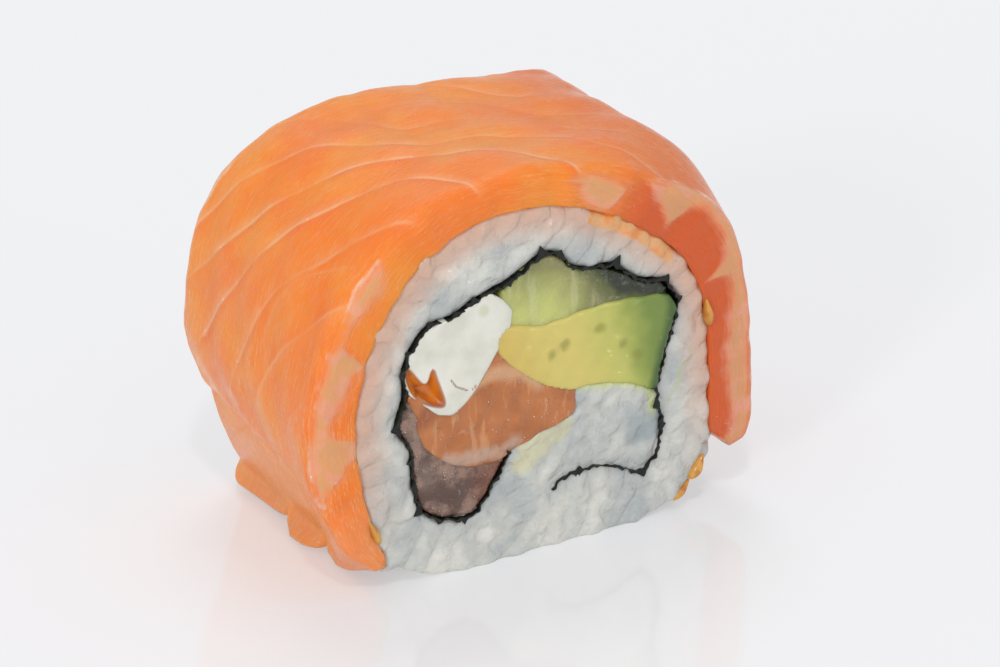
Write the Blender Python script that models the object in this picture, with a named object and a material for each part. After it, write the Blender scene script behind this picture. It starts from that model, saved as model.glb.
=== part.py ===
"""One cut piece of an inside-out sushi roll under a blanket of salmon.

The roll lies on its side with its axis along Y. The front cut looks towards -Y, +X is to the
right of it and +Z is up. From the outside in the piece is a thick sheet of salmon, pressed
rice with its grains showing at the cuts, a sheet of seaweed, and five strips of filling that run
from cut to cut. Everything is worked out in millimetres and scaled to metres at the end.
"""
import math
import random

import bmesh
import bpy
import numpy as np
from mathutils import Euler, Matrix, Vector

MM = 0.001
SHARP_ANGLE = math.radians(40)

# Driving dimensions, in millimetres
ROLL_LENGTH = 30.4
FRONT = -ROLL_LENGTH / 2
BACK = ROLL_LENGTH / 2
CLEARANCE = 0.34
OUTLINE_STEP = 1.5

# The rice: its outline across the roll, one straight edge where it rests
FLAT_BELOW = 0.1
RICE_EDGE = [
    (-12.0, 0.0), (0.0, 0.0), (11.5, 0.0), (16.9, 1.5), (20.2, 5.2), (21.2, 11.0), (21.1, 17.5),
    (20.2, 24.0), (17.4, 29.6), (12.4, 33.7), (5.0, 37.7), (-2.5, 39.0), (-9.0, 37.9),
    (-14.6, 34.4), (-18.7, 28.6), (-21.0, 21.5), (-20.9, 14.5), (-19.2, 7.4), (-16.4, 3.0),
]
# Where the rice inside the seaweed meets the filling, from the seaweed's right wall to its start
INNER_RICE_EDGE = [
    (14.2, 14.9), (12.3, 16.4), (9.0, 17.4), (5.4, 17.9), (4.3, 16.9), (4.8, 14.9), (2.6, 14.3),
    (-0.6, 13.4), (-3.1, 12.3),
]
GRAIN_LENGTH = 5.6
GRAIN_WIDTH = 3.0
GRAIN_SEGMENTS = 6
GRAIN_RINGS = 4
GRAIN_SPACING = 2.45
GRAIN_PROUD = (0.35, 0.65)
GRAIN_TRIES = 5000
GRAIN_EDGE_GAP = 0.15
GRAIN_TILT = 0.12
FLANK_GRAINS = 24
FLANK_PROUD = (0.3, 0.55)
FLANK_END_GAP = 2.5
FLANK_FLOOR_GAP = 0.12
# The rice has no salmon over it to the right of, and between, these: x, then low and high z
OPEN_FLANK = (12.0, 0.3, 6.5)
RICE_SEED = 7

# Toasted sesame: length, width and thickness, and (x, y, z, turn about Y in degrees) of each seed
SESAME_SIZE = (3.1, 1.8, 1.0)
SESAME_TILT = 25
SESAME_SEEDS = [
    (-18.2, FRONT + 0.2, 8.1, 65), (14.3, FRONT + 0.2, 31.5, 140), (19.6, FRONT + 0.2, 23.6, 105),
    (18.3, FRONT + 2.2, 2.9, 50), (19.7, FRONT + 5.0, 4.6, 60), (17.3, FRONT + 14.0, 1.9, 35),
    (20.3, FRONT + 21.0, 5.6, 70),
]

# The seaweed: its line across the roll, from its end beside the dark fish, clockwise, to its tail
NORI_THICKNESS = 0.46
NORI_STEP = 1.15
NORI_PROUD_FRONT = 0.05
NORI_PROUD_BACK = 0.1
NORI_RINGS = 4
NORI_LINE = [
    (-3.3, 12.4), (-5.5, 8.9), (-7.2, 6.6), (-9.0, 6.2), (-11.3, 6.6), (-13.9, 8.4), (-14.6, 11.4),
    (-15.0, 15.3), (-16.4, 18.2), (-15.5, 21.4), (-15.4, 25.0), (-12.8, 28.4), (-9.8, 28.9),
    (-6.8, 30.4), (-3.4, 31.4), (0.3, 33.3), (2.2, 33.2), (4.6, 31.1), (8.8, 30.5), (12.2, 28.2),
    (15.2, 27.3), (16.9, 24.6), (15.6, 19.8), (14.6, 15.2), (15.1, 11.4), (14.7, 8.0),
    (12.6, 6.1), (9.3, 7.6), (5.4, 8.1), (3.2, 7.7), (1.8, 6.6),
]
# How far along that line the rice lies outside only; past it there is rice on both sides
NORI_RIGHT_WALL = (14.6, 15.2)

# The fillings: outlines across the roll
CUCUMBER = [
    (-3.4, 27.2), (-3.6, 30.4), (-1.4, 32.1), (1.1, 33.2), (3.6, 31.6), (7.4, 30.1), (11.2, 28.5),
    (15.2, 26.9), (14.4, 25.9), (9.6, 26.3), (4.6, 26.0), (0.0, 25.5),
]
AVOCADO = [
    (-4.7, 25.3), (-3.4, 26.1), (0.0, 25.3), (4.6, 25.8), (9.6, 26.1), (14.4, 25.7), (16.6, 24.0),
    (15.6, 20.5), (14.3, 15.6), (12.3, 16.6), (8.8, 17.5), (4.2, 18.1), (0.4, 19.8), (-3.2, 22.8),
]
SURIMI = [
    (-12.8, 28.6), (-9.6, 28.7), (-6.4, 30.2), (-4.7, 29.4), (-3.5, 27.6), (-4.6, 25.5),
    (-6.3, 22.9), (-8.3, 20.2), (-10.6, 18.7), (-12.8, 20.3), (-14.8, 22.2), (-15.4, 24.6),
]
SALMON_STRIP = [
    (-15.0, 21.4), (-13.1, 19.9), (-10.7, 18.3), (-8.1, 20.0), (-6.2, 22.7), (-4.7, 24.8),
    (-3.3, 22.9), (0.3, 19.7), (3.9, 18.1), (4.7, 15.0), (2.4, 14.2), (-1.4, 13.1), (-5.2, 12.1),
    (-8.9, 12.5), (-11.6, 14.2), (-13.4, 16.4), (-13.8, 19.2),
]
DARK_STRIP = [
    (-13.6, 8.4), (-14.3, 12.0), (-14.6, 15.5), (-15.9, 18.2), (-15.3, 20.8), (-14.1, 19.4),
    (-13.7, 16.6), (-11.8, 14.1), (-9.0, 12.3), (-5.4, 11.9), (-3.5, 12.2), (-5.7, 8.7),
    (-7.6, 6.9), (-10.6, 6.8),
]
# How far each filling stands back from the front and the back cut
FILLINGS = {
    "surimi_strip": (SURIMI, -0.15, 0.30),
    "cucumber_strip": (CUCUMBER, 0.35, -0.10),
    "avocado_slice": (AVOCADO, 0.05, 0.35),
    "salmon_strip": (SALMON_STRIP, 0.20, 0.05),
    "dark_fish_strip": (DARK_STRIP, 0.50, 0.25),
}
FILLING_BEVEL = 0.3
FILLING_RINGS = 4

# From the front cut to the back the filling turns a little about the middle of the roll
TWIST_DEGREES = 7.0
TWIST_CENTRE = (0.0, 19.5)
TWIST_FULL_RADIUS = 11.0
TWIST_END_RADIUS = 19.4

# Behind the front cut the roll is fuller at its upper right: angles in degrees about TWIST_CENTRE
SHOULDER_ANGLE = 38.0
SHOULDER_SPREAD = 25.0
SHOULDER_START = 9.0
SHOULDER_RICE_RISE = 1.7
SHOULDER_BLANKET_RISE = 2.2

# The salmon blanket: a thick sheet laid over the rice, open underneath
BLANKET_FOOT_HEIGHT = 1.2
BLANKET_FLOOR_GAP = 0.05
BLANKET_HEM = [(21.6, 12.0), (21.7, 8.2)]
BLANKET_STATIONS = 46
BLANKET_RINGS = (0.0, 0.35, 1.3, 3.6, 6.6, 9.4, 11.0, 14.2, 17.0, 19.0, 22.5, 26.0, 28.9, 30.0, 30.4)
BLANKET_THICKNESS = [
    (-40, 5.3), (0, 5.2), (20, 5.0), (45, 5.1), (62, 5.2), (85, 3.8), (105, 3.7), (125, 4.7),
    (150, 4.8), (180, 4.8), (195, 4.6), (212, 3.7), (226, 3.0),
]
# Towards the back the salmon lies closer in at its lower left
BLANKET_TUCK = 2.0
BLANKET_TUCK_FROM = 178.0
BLANKET_TUCK_OVER = 28.0
BLANKET_RIM_RADIUS = 1.3
# Low waves in its thickness: height, and how fast each turns along X, Y and Z
BLANKET_WAVES = [(0.16, (0.55, 0.33, 0.0)), (0.12, (0.0, 0.9, -0.4))]
# The foot's lobes along the roll, and how far the foot is drawn back where two of them meet
LOBES = ((-2.0, 10.2), (10.2, 18.0), (18.0, 32.0))
LOBE_NOTCH = 1.5
# At the foot and the hem the sheet thins by a share, over a distance in from its edge
FOOT_TAPER = (0.4, 1.0)
HEM_TAPER = (0.2, 1.2)
# The foot spreads outwards and both edges droop, each over such a distance too
FOOT_FLARE = (0.0, 2.0)
FOOT_FLARE_REACH = 2.4
FOOT_DROP = (0.6, 1.5)
HEM_SLANT = (2.8, 2.5)
# The hem's edge wavers: height, speed along the roll and start of each wave
HEM_WAVES = [(0.5, 1.1, 0.0), (0.3, 2.3, 1.0)]

MATERIALS = {
    "salmon_blanket": ((0.95, 0.40, 0.16), 0.30),
    "rice": ((0.88, 0.87, 0.83), 0.40),
    "nori_sheet": ((0.025, 0.035, 0.025), 0.45),
    "cucumber_strip": ((0.62, 0.74, 0.42), 0.30),
    "avocado_slice": ((0.76, 0.77, 0.33), 0.35),
    "surimi_strip": ((0.93, 0.91, 0.85), 0.35),
    "salmon_strip": ((0.86, 0.48, 0.29), 0.30),
    "dark_fish_strip": ((0.36, 0.25, 0.24), 0.30),
}


def smooth_line(points, step, closed):
    """Points about step apart on a Catmull-Rom curve through the given ones."""
    pts = np.array(points, float)
    count = len(pts)
    spans = count if closed else count - 1
    dense = []
    for i in range(spans):
        if closed:
            p0, p1, p2, p3 = (pts[(i + k) % count] for k in (-1, 0, 1, 2))
        else:
            p0, p1, p2, p3 = (pts[min(max(i + k, 0), count - 1)] for k in (-1, 0, 1, 2))
        for t in np.linspace(0, 1, 12, endpoint=False):
            dense.append(0.5 * (2 * p1 + (p2 - p0) * t + (2 * p0 - 5 * p1 + 4 * p2 - p3) * t ** 2
                                + (3 * p1 - p0 - 3 * p2 + p3) * t ** 3))
    dense.append(pts[0] if closed else pts[-1])
    return resample(np.array(dense), step, closed)


def resample(line, step, closed):
    """The same line with its points evenly spaced, about step apart."""
    run = np.concatenate([[0], np.cumsum(np.linalg.norm(np.diff(line, axis=0), axis=1))])
    pieces = max(3, round(run[-1] / step))
    at = np.linspace(0, run[-1], pieces + 1)
    even = np.stack([np.interp(at, run, line[:, k]) for k in (0, 1)], 1)
    return even[:-1] if closed else even


def flat_based(outline):
    """The outline with its lowest stretch made one straight edge on the surface below."""
    low = outline[:, 1] < FLAT_BELOW
    ends = outline[low, 0].min(), outline[low, 0].max()
    between = low & (outline[:, 0] > ends[0]) & (outline[:, 0] < ends[1])
    flat = outline.copy()
    flat[low, 1] = 0.0
    return flat[~between]


def line_normals(line, closed):
    """Unit normals to the left of the direction of travel."""
    if closed:
        along = np.roll(line, -1, 0) - np.roll(line, 1, 0)
    else:
        along = np.gradient(line, axis=0)
    along /= np.linalg.norm(along, axis=1)[:, None]
    return np.stack([-along[:, 1], along[:, 0]], 1)


def nearest_on(points, line, closed):
    """The nearest point of a line to each of the points, and how far away it is."""
    ends = np.roll(line, -1, 0) if closed else line[1:]
    starts = line if closed else line[:-1]
    span = ends - starts
    share = ((points[:, None] - starts) * span).sum(2) / np.maximum((span ** 2).sum(1), 1e-9)
    foot = starts + span * np.clip(share, 0, 1)[:, :, None]
    away = np.linalg.norm(points[:, None] - foot, axis=2)
    best = away.argmin(1)
    rows = np.arange(len(points))
    return foot[rows, best], away[rows, best]


def inside(points, outline):
    """Which of the points lie inside a closed outline."""
    x, z = points[:, 0, None], points[:, 1, None]
    x0, z0 = outline[:, 0], outline[:, 1]
    x1, z1 = np.roll(outline, -1, 0).T
    crosses = (z0 > z) != (z1 > z)
    rise = np.where(np.abs(z1 - z0) < 1e-12, 1e-12, z1 - z0)
    at = (x1 - x0) * (z - z0) / rise + x0
    return (crosses & (x < at)).sum(1) % 2 == 1


def held_off(points, outline, gap, within):
    """The points moved so that they lie within, or clear of, a closed outline, by at least gap."""
    foot, away = nearest_on(points, outline, True)
    wrong = inside(points, outline) != within
    out = (points - foot) / np.maximum(away, 1e-9)[:, None]
    out[wrong] *= -1
    move = wrong | (away < gap)
    moved = points.copy()
    moved[move] = foot[move] + out[move] * gap
    return moved


def offset_line(line, distance, closed):
    """A line beside another, without the points that a tight bend throws across."""
    beside = line + line_normals(line, closed) * distance
    away = nearest_on(beside, line, closed)[1]
    return beside[away > 0.96 * abs(distance)]


def fitted(outline, zone, neighbours):
    """A filling's outline, kept inside the zone and clear of the fillings that are already there."""
    for _ in range(6):
        for other in neighbours:
            outline = held_off(outline, other, CLEARANCE, within=False)
        outline = held_off(outline, zone, CLEARANCE, within=True)
    return outline


def twisted(point):
    """A point in millimetres, turned about the middle of the roll by its share of the length."""
    x, y, z = point
    dx, dz = x - TWIST_CENTRE[0], z - TWIST_CENTRE[1]
    radius = math.hypot(dx, dz)
    fade = (TWIST_END_RADIUS - radius) / (TWIST_END_RADIUS - TWIST_FULL_RADIUS)
    fade = min(max(fade, 0.0), 1.0)
    fade = fade * fade * (3 - 2 * fade)
    turn = math.radians(TWIST_DEGREES) * fade
    share = (y - FRONT) / ROLL_LENGTH
    turned = (dx * math.cos(turn) - dz * math.sin(turn), dx * math.sin(turn) + dz * math.cos(turn))
    return Vector((x + (turned[0] - dx) * share, y, z + (turned[1] - dz) * share))


def new_object(name, bm):
    """An object in the scene from a bmesh in millimetres, with its own material if it is a piece."""
    bmesh.ops.recalc_face_normals(bm, faces=bm.faces)
    mesh = bpy.data.meshes.new(name)
    bm.to_mesh(mesh)
    bm.free()
    mesh.transform(Matrix.Scale(MM, 4))
    obj = bpy.data.objects.new(name, mesh)
    bpy.context.scene.collection.objects.link(obj)
    if name in MATERIALS:
        mesh.materials.append(food_material(name, *MATERIALS[name]))
        mesh.shade_smooth()
        mesh.set_sharp_from_angle(angle=SHARP_ANGLE)
    return obj


def food_material(name, colour, roughness):
    material = bpy.data.materials.new(name)
    material.use_nodes = True
    shader = material.node_tree.nodes["Principled BSDF"]
    shader.inputs["Base Color"].default_value = (*colour, 1.0)
    shader.inputs["Roughness"].default_value = roughness
    shader.inputs["Metallic"].default_value = 0.0
    return material


def loft(rings):
    """A closed bmesh through rings of points, with a flat cap on the first and the last."""
    bm = bmesh.new()
    made = [[bm.verts.new(p) for p in ring] for ring in rings]
    for a, b in zip(made, made[1:]):
        for i in range(len(a)):
            j = (i + 1) % len(a)
            bm.faces.new((a[i], a[j], b[j], b[i]))
    bm.faces.new(made[0])
    bm.faces.new(made[-1])
    return bm


def section_ring(outline, y):
    """The outline as a ring of points at one place along the roll, turned with the filling."""
    return [twisted((x, y, z)) for x, z in outline]


def make_filling(name, outline, front_back, back_back):
    """A strip of filling from cut to cut, with its cut edges just broken."""
    inward = drawn_in(outline, FILLING_BEVEL)
    front, back = FRONT + front_back, BACK - back_back
    ends = [(front, inward), (front + FILLING_BEVEL, outline)]
    middle = np.linspace(front + FILLING_BEVEL, back - FILLING_BEVEL, FILLING_RINGS)[1:-1]
    ends += [(y, outline) for y in middle]
    ends += [(back - FILLING_BEVEL, outline), (back, inward)]
    return new_object(name, loft([section_ring(line, y) for y, line in ends]))


def signed_inward(outline):
    """+1 where the left of the direction of travel is inside the outline, and -1 otherwise."""
    x, z = outline.T
    area = (x * np.roll(z, -1) - np.roll(x, -1) * z).sum()
    return 1.0 if area > 0 else -1.0


def drawn_in(outline, distance):
    """The outline drawn in evenly, point for point."""
    return outline + line_normals(outline, True) * signed_inward(outline) * distance


def nori_lines():
    """The seaweed's middle line, and the index of the point where it meets the inner rice."""
    line = smooth_line(NORI_LINE, NORI_STEP, closed=False)
    wall = int(np.linalg.norm(line - np.array(NORI_RIGHT_WALL), axis=1).argmin())
    return line, wall


def make_nori(line):
    """The seaweed as a thin sheet, both faces with the same points."""
    half = NORI_THICKNESS / 2
    side = line_normals(line, False) * half
    band = np.concatenate([line + side, (line - side)[::-1]])
    bm = bmesh.new()
    ys = np.linspace(FRONT - NORI_PROUD_FRONT, BACK + NORI_PROUD_BACK, NORI_RINGS)
    rings = [[bm.verts.new(p) for p in section_ring(band, y)] for y in ys]
    count, last = len(line), len(band) - 1
    for a, b in zip(rings, rings[1:]):
        for i in range(len(band)):
            j = (i + 1) % len(band)
            bm.faces.new((a[i], a[j], b[j], b[i]))
    for ring in (rings[0], rings[-1]):
        for i in range(count - 1):
            bm.faces.new((ring[i], ring[i + 1], ring[last - i - 1], ring[last - i]))
    return new_object("nori_sheet", bm)


def filling_zone(line, wall):
    """The space inside the seaweed for the fillings, closed by the edge of the inner rice."""
    inner = line - line_normals(line, False) * (NORI_THICKNESS / 2)
    edge = smooth_line(INNER_RICE_EDGE, OUTLINE_STEP, closed=False)
    return np.concatenate([inner[: wall + 1], edge[1:-1], [nori_root(line)]])


def nori_root(line):
    """Where the rice begins beyond the seaweed's first end."""
    back = (line[0] - line[1]) / np.linalg.norm(line[0] - line[1])
    return line[0] + back * (NORI_THICKNESS / 2 + CLEARANCE)


def rice_pocket(line, wall):
    """The hole through the rice: the seaweed's slot with its tail, and the space of the fillings."""
    beside = NORI_THICKNESS / 2 + CLEARANCE
    outer = offset_line(line, beside, False)
    tail = offset_line(line[wall:], -beside, False)
    along = (line[-1] - line[-2]) / np.linalg.norm(line[-1] - line[-2])
    tip = line[-1] + along * beside
    edge = smooth_line(INNER_RICE_EDGE, OUTLINE_STEP, closed=False)
    return np.concatenate([outer, [tip], tail[::-1], edge[1:-1], [nori_root(line)]])


def prism(name, outline, front, back):
    """A straight solid along the roll."""
    rings = [[Vector((x, y, z)) for x, z in outline] for y in (front, back)]
    return new_object(name, loft(rings))


def apply_boolean(target, operand, operation):
    """A Boolean with an object, or with the collection that it names, made permanent."""
    cut = target.modifiers.new("cut", "BOOLEAN")
    cut.operation = operation
    cut.solver = "EXACT"
    if isinstance(operand, bpy.types.Collection):
        cut.operand_type = "COLLECTION"
        cut.collection = operand
    else:
        cut.object = operand
    bpy.context.view_layer.update()
    evaluated = target.evaluated_get(bpy.context.evaluated_depsgraph_get())
    mesh = bpy.data.meshes.new_from_object(evaluated)
    target.modifiers.clear()
    target.data = mesh


def ellipsoid(size, centre, turn):
    """A low-sided grain or seed: its full sizes, its middle and its rotation matrix."""
    bm = bmesh.new()
    bmesh.ops.create_uvsphere(bm, u_segments=GRAIN_SEGMENTS, v_segments=GRAIN_RINGS, radius=0.5)
    spin = Matrix.Rotation(math.radians(90), 4, "Y")
    place = Matrix.Translation(centre) @ turn @ Matrix.Diagonal((*size, 1.0)) @ spin
    bmesh.ops.transform(bm, matrix=place, verts=bm.verts)
    return bm


def grain_outline(x, z, turn, length, width):
    """The shadow of a grain on the cut face."""
    around = np.linspace(0, 2 * math.pi, 10, endpoint=False)
    u, v = np.cos(around) * length / 2, np.sin(around) * width / 2
    c, s = math.cos(turn), math.sin(turn)
    return np.stack([x + u * c - v * s, z + u * s + v * c], 1)


def open_flank(points):
    """True where the rice has no salmon over it: low on the right-hand side."""
    right_of, above, below = OPEN_FLANK
    return (points[:, 0] > right_of) & (points[:, 1] > above) & (points[:, 1] < below)


def face_grains(rice_edge, pocket, y, outward, draw):
    """Grains set in a cut face, turned and shortened until they fit, or left out."""
    low, high = rice_edge.min(0), rice_edge.max(0)
    placed = []
    for _ in range(GRAIN_TRIES):
        spot = np.array([[draw.uniform(low[0], high[0]), draw.uniform(low[1], high[1])]])
        turn, length = draw.uniform(0, math.pi), GRAIN_LENGTH * draw.uniform(0.62, 1.0)
        width = GRAIN_WIDTH * draw.uniform(0.85, 1.1)
        if any(math.dist(spot[0], other[:2]) < GRAIN_SPACING for other in placed):
            continue
        if not inside(spot, rice_edge)[0]:
            continue
        for shorter in (1.0, 0.8, 0.62):
            shadow = grain_outline(*spot[0], turn, length * shorter, width)
            near_edge = nearest_on(shadow, rice_edge, True)[1] < GRAIN_EDGE_GAP
            outside = ~inside(shadow, rice_edge) | near_edge
            in_rice = ~outside | open_flank(shadow)
            crosses = inside(shadow, pocket).any() or inside(pocket, shadow).any()
            if in_rice.all() and not crosses:
                placed.append((*spot[0], turn, length * shorter, width))
                break
    grains = []
    for x, z, turn, length, width in placed:
        proud = draw.uniform(*GRAIN_PROUD)
        tilts = draw.uniform(-GRAIN_TILT, GRAIN_TILT), draw.uniform(-GRAIN_TILT, GRAIN_TILT)
        tilt = Euler((tilts[0], 0, tilts[1])).to_matrix().to_4x4()
        centre = Vector((x, y + outward * (proud - width / 2), z))
        grains.append(ellipsoid((length, width, width), centre, tilt @ Matrix.Rotation(-turn, 4, "Y")))
    return grains


def flank_grains(rice_edge, draw):
    """Grains low on the right-hand side, where the salmon stops short of the table."""
    edge = [p for p in rice_edge if open_flank(p[None])[0]]
    grains = []
    for _ in range(FLANK_GRAINS):
        x, z = draw.choice(edge)
        y = draw.uniform(FRONT + FLANK_END_GAP, BACK - FLANK_END_GAP)
        width = GRAIN_WIDTH * draw.uniform(0.85, 1.05)
        inward = Vector((TWIST_CENTRE[0] - x, 0, TWIST_CENTRE[1] - z)).normalized()
        centre = Vector((x, y, z)) + inward * (width / 2 - draw.uniform(*FLANK_PROUD))
        centre.z = max(centre.z, width / 2 + FLANK_FLOOR_GAP)
        turn = Euler((0, draw.uniform(-0.3, 0.3), draw.uniform(0, math.pi))).to_matrix().to_4x4()
        length = min(GRAIN_LENGTH * draw.uniform(0.7, 1.0), 2 * (BACK - abs(y)))
        grains.append(ellipsoid((length, width, width), centre, turn))
    return grains


def sesame_seeds():
    seeds = []
    for x, y, z, turn in SESAME_SEEDS:
        tilt = Matrix.Rotation(math.radians(SESAME_TILT), 4, "X")
        lay = Matrix.Rotation(math.radians(-turn), 4, "Y") @ tilt
        seeds.append(ellipsoid(SESAME_SIZE, Vector((x, y, z)), lay))
    return seeds


def shoulder(x, z, y):
    """How full the roll's upper right shoulder is at a place, from 0 to 1."""
    angle = math.degrees(math.atan2(z - TWIST_CENTRE[1], x - TWIST_CENTRE[0]))
    swell = min(max(y - FRONT, 0.0) / SHOULDER_START, 1.0)
    return math.exp(-((angle - SHOULDER_ANGLE) / SHOULDER_SPREAD) ** 2) * swell * swell * (3 - 2 * swell)


def rice_edge_at(rice_edge, y):
    """The rice's outline at one place along the roll."""
    outward = line_normals(rice_edge, True) * -signed_inward(rice_edge)
    rise = np.array([shoulder(x, z, y) for x, z in rice_edge]) * SHOULDER_RICE_RISE
    return rice_edge + outward * rise[:, None]


def make_rice(rice_edge, pocket):
    """The pressed rice: a core with the hole for the filling, and the grains that show fused on."""
    core_front, core_back = FRONT + GRAIN_PROUD[0], BACK - GRAIN_PROUD[0]
    ys = [core_front, *(FRONT + SHOULDER_START * share for share in (0.3, 0.6, 1.0)), core_back]
    rings = [[Vector((x, y, z)) for x, z in rice_edge_at(rice_edge, y)] for y in ys]
    rice = new_object("rice", loft(rings))
    cutter = prism("filling_hole", pocket, FRONT - 5, BACK + 5)
    apply_boolean(rice, cutter, "DIFFERENCE")
    bpy.data.objects.remove(cutter)
    for vertex in rice.data.vertices:
        vertex.co = twisted(vertex.co / MM) * MM

    draw = random.Random(RICE_SEED)
    turned_pocket = np.array([[p.x, p.z] for p in section_ring(pocket, BACK)])
    pieces = face_grains(rice_edge, pocket, core_front, -1, draw)
    pieces += face_grains(rice_edge_at(rice_edge, core_back), turned_pocket, core_back, 1, draw)
    pieces += flank_grains(rice_edge, draw)
    pieces += sesame_seeds()
    fuse(rice, pieces)
    rice.data.materials.clear()
    rice.data.materials.append(food_material("rice", *MATERIALS["rice"]))
    return rice


def fuse(target, pieces):
    """One Boolean union of a solid with many small ones."""
    heap = bpy.data.collections.new("grains")
    bpy.context.scene.collection.children.link(heap)
    for bm in pieces:
        piece = new_object("grain", bm)
        bpy.context.scene.collection.objects.unlink(piece)
        heap.objects.link(piece)
    apply_boolean(target, heap, "UNION")
    for piece in list(heap.objects):
        bpy.data.objects.remove(piece)
    bpy.data.collections.remove(heap)


def blanket_inner_line(rice_edge):
    """The salmon's underside, from its foot on the left over the top to its free hem on the right."""
    beside = offset_line(rice_edge, -signed_inward(rice_edge) * CLEARANCE, True)
    hem_top = BLANKET_HEM[0][1]
    left = (beside[:, 0] < 0) & (beside[:, 1] > BLANKET_FOOT_HEIGHT)
    right = (beside[:, 0] >= 0) & (beside[:, 1] > hem_top + 1.0)
    over = beside[left | right]
    angle = np.arctan2(over[:, 1] - TWIST_CENTRE[1], over[:, 0] - TWIST_CENTRE[0])
    from_foot = np.argsort((math.radians(270) - angle) % (2 * math.pi))
    return smooth_line([*over[from_foot], *BLANKET_HEM], 0.5, closed=False)


def blanket_thickness(x, z, y):
    """How thick the salmon is: it varies round the roll, and both of its rims are rounded off."""
    angle = math.degrees(math.atan2(z - TWIST_CENTRE[1], x - TWIST_CENTRE[0]))
    around = angle if angle > -90 else angle + 360
    thick = np.interp(around, *zip(*BLANKET_THICKNESS)) + SHOULDER_BLANKET_RISE * shoulder(x, z, y)
    for height, (kx, ky, kz) in BLANKET_WAVES:
        thick += height * math.sin(kx * x + ky * y + kz * z)
    low_left = min(max((around - BLANKET_TUCK_FROM) / BLANKET_TUCK_OVER, 0.0), 1.0)
    thick -= BLANKET_TUCK * low_left * (y - FRONT) / ROLL_LENGTH
    rim = min(y - FRONT, BACK - y, BLANKET_RIM_RADIUS)
    fall = BLANKET_RIM_RADIUS - math.sqrt(BLANKET_RIM_RADIUS ** 2 - (BLANKET_RIM_RADIUS - rim) ** 2)
    return thick - fall


def foot_notch(along):
    """How far the foot is drawn back at a place along the roll: only where two lobes meet."""
    for start, end in LOBES:
        if along <= end:
            return LOBE_NOTCH * (2 * (along - start) / (end - start) - 1) ** 6
    return 0.0


def fading(size_and_reach, away):
    """A size that fades with the distance from an edge."""
    size, reach = size_and_reach
    return size * math.exp(-away / reach)


def hem_cut(along):
    """How far short of its longest the hem is cut at a place along the roll."""
    return sum(size * (1 - math.sin(speed * along + start)) for size, speed, start in HEM_WAVES)


def make_blanket(rice_edge):
    """The sheet of salmon: an inner and an outer skin over the same stations, joined at the rims."""
    line = blanket_inner_line(rice_edge)
    run = np.concatenate([[0], np.cumsum(np.linalg.norm(np.diff(line, axis=0), axis=1))])
    normal = line_normals(line, False)
    rings = []
    for along in BLANKET_RINGS:
        y = FRONT + along
        flare = np.interp(along, (0, ROLL_LENGTH), FOOT_FLARE), FOOT_FLARE_REACH
        at = np.linspace(foot_notch(along), run[-1] - hem_cut(along), BLANKET_STATIONS)
        inner, outer = [], []
        for s in at:
            x, z = (np.interp(s, run, line[:, k]) for k in (0, 1))
            nx, nz = (np.interp(s, run, normal[:, k]) for k in (0, 1))
            lift = SHOULDER_RICE_RISE * shoulder(x, z, y)
            x, z = x + nx * lift, z + nz * lift
            from_foot, from_hem = s - at[0], at[-1] - s
            taper = 1 - fading(FOOT_TAPER, from_foot) - fading(HEM_TAPER, from_hem)
            thick = blanket_thickness(x, z, y) * taper
            droop = fading(HEM_SLANT, from_hem) + fading(FOOT_DROP, from_foot)
            outer_x = x + nx * thick - fading(flare, from_foot)
            inner.append(Vector((x, y, z)))
            outer.append(Vector((outer_x, y, max(z + nz * thick - droop, BLANKET_FLOOR_GAP))))
        rings.append(inner + outer[::-1])
    return new_object("salmon_blanket", loft_sheet(rings))


def loft_sheet(rings):
    """A closed sheet through rings that each hold an inner row and, backwards, an outer row."""
    bm = bmesh.new()
    made = [[bm.verts.new(p) for p in ring] for ring in rings]
    size = len(made[0])
    for a, b in zip(made, made[1:]):
        for i in range(size):
            j = (i + 1) % size
            bm.faces.new((a[i], a[j], b[j], b[i]))
    for ring in (made[0], made[-1]):
        for i in range(size // 2 - 1):
            bm.faces.new((ring[i], ring[i + 1], ring[size - 2 - i], ring[size - 1 - i]))
    return bm


def stand_on_origin(objects):
    """Moves the whole piece so that the origin is under the middle of its box."""
    corners = np.array([obj.matrix_world @ v.co for obj in objects for v in obj.data.vertices])
    low, high = corners.min(0), corners.max(0)
    shift = Matrix.Translation((-(low[0] + high[0]) / 2, -(low[1] + high[1]) / 2, -low[2]))
    for obj in objects:
        obj.data.transform(shift)


def main():
    for obj in list(bpy.data.objects):
        bpy.data.objects.remove(obj)
    rice_edge = flat_based(smooth_line(RICE_EDGE, OUTLINE_STEP, closed=True))
    line, wall = nori_lines()
    zone = filling_zone(line, wall)
    made, fitted_outlines = [], []
    for name, (points, front_back, back_back) in FILLINGS.items():
        outline = fitted(smooth_line(points, OUTLINE_STEP, closed=True), zone, fitted_outlines)
        fitted_outlines.append(outline)
        made.append(make_filling(name, outline, front_back, back_back))
    made.append(make_nori(line))
    made.append(make_rice(rice_edge, rice_pocket(line, wall)))
    made.append(make_blanket(rice_edge))
    stand_on_origin(made)


main()
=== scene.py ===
# %% [markdown]
# A cut piece of an inside-out sushi roll, wrapped over in raw salmon and lying on its side.
# The solids of the piece are packed already, and they fix every size and place here. This script
# dresses them: it rebuilds the salmon, the rice, the seaweed and the fillings as fine meshes in
# the same places, and gives each the look of wet, cut food.
# All shapes are worked out in millimetres in the roll's own frame. Its front cut lies at
# y = FRONT, its axis runs along Y, and +Z is up.

import math

import bmesh
import bpy
import numpy as np
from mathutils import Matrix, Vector
from mathutils.geometry import tessellate_polygon


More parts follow.
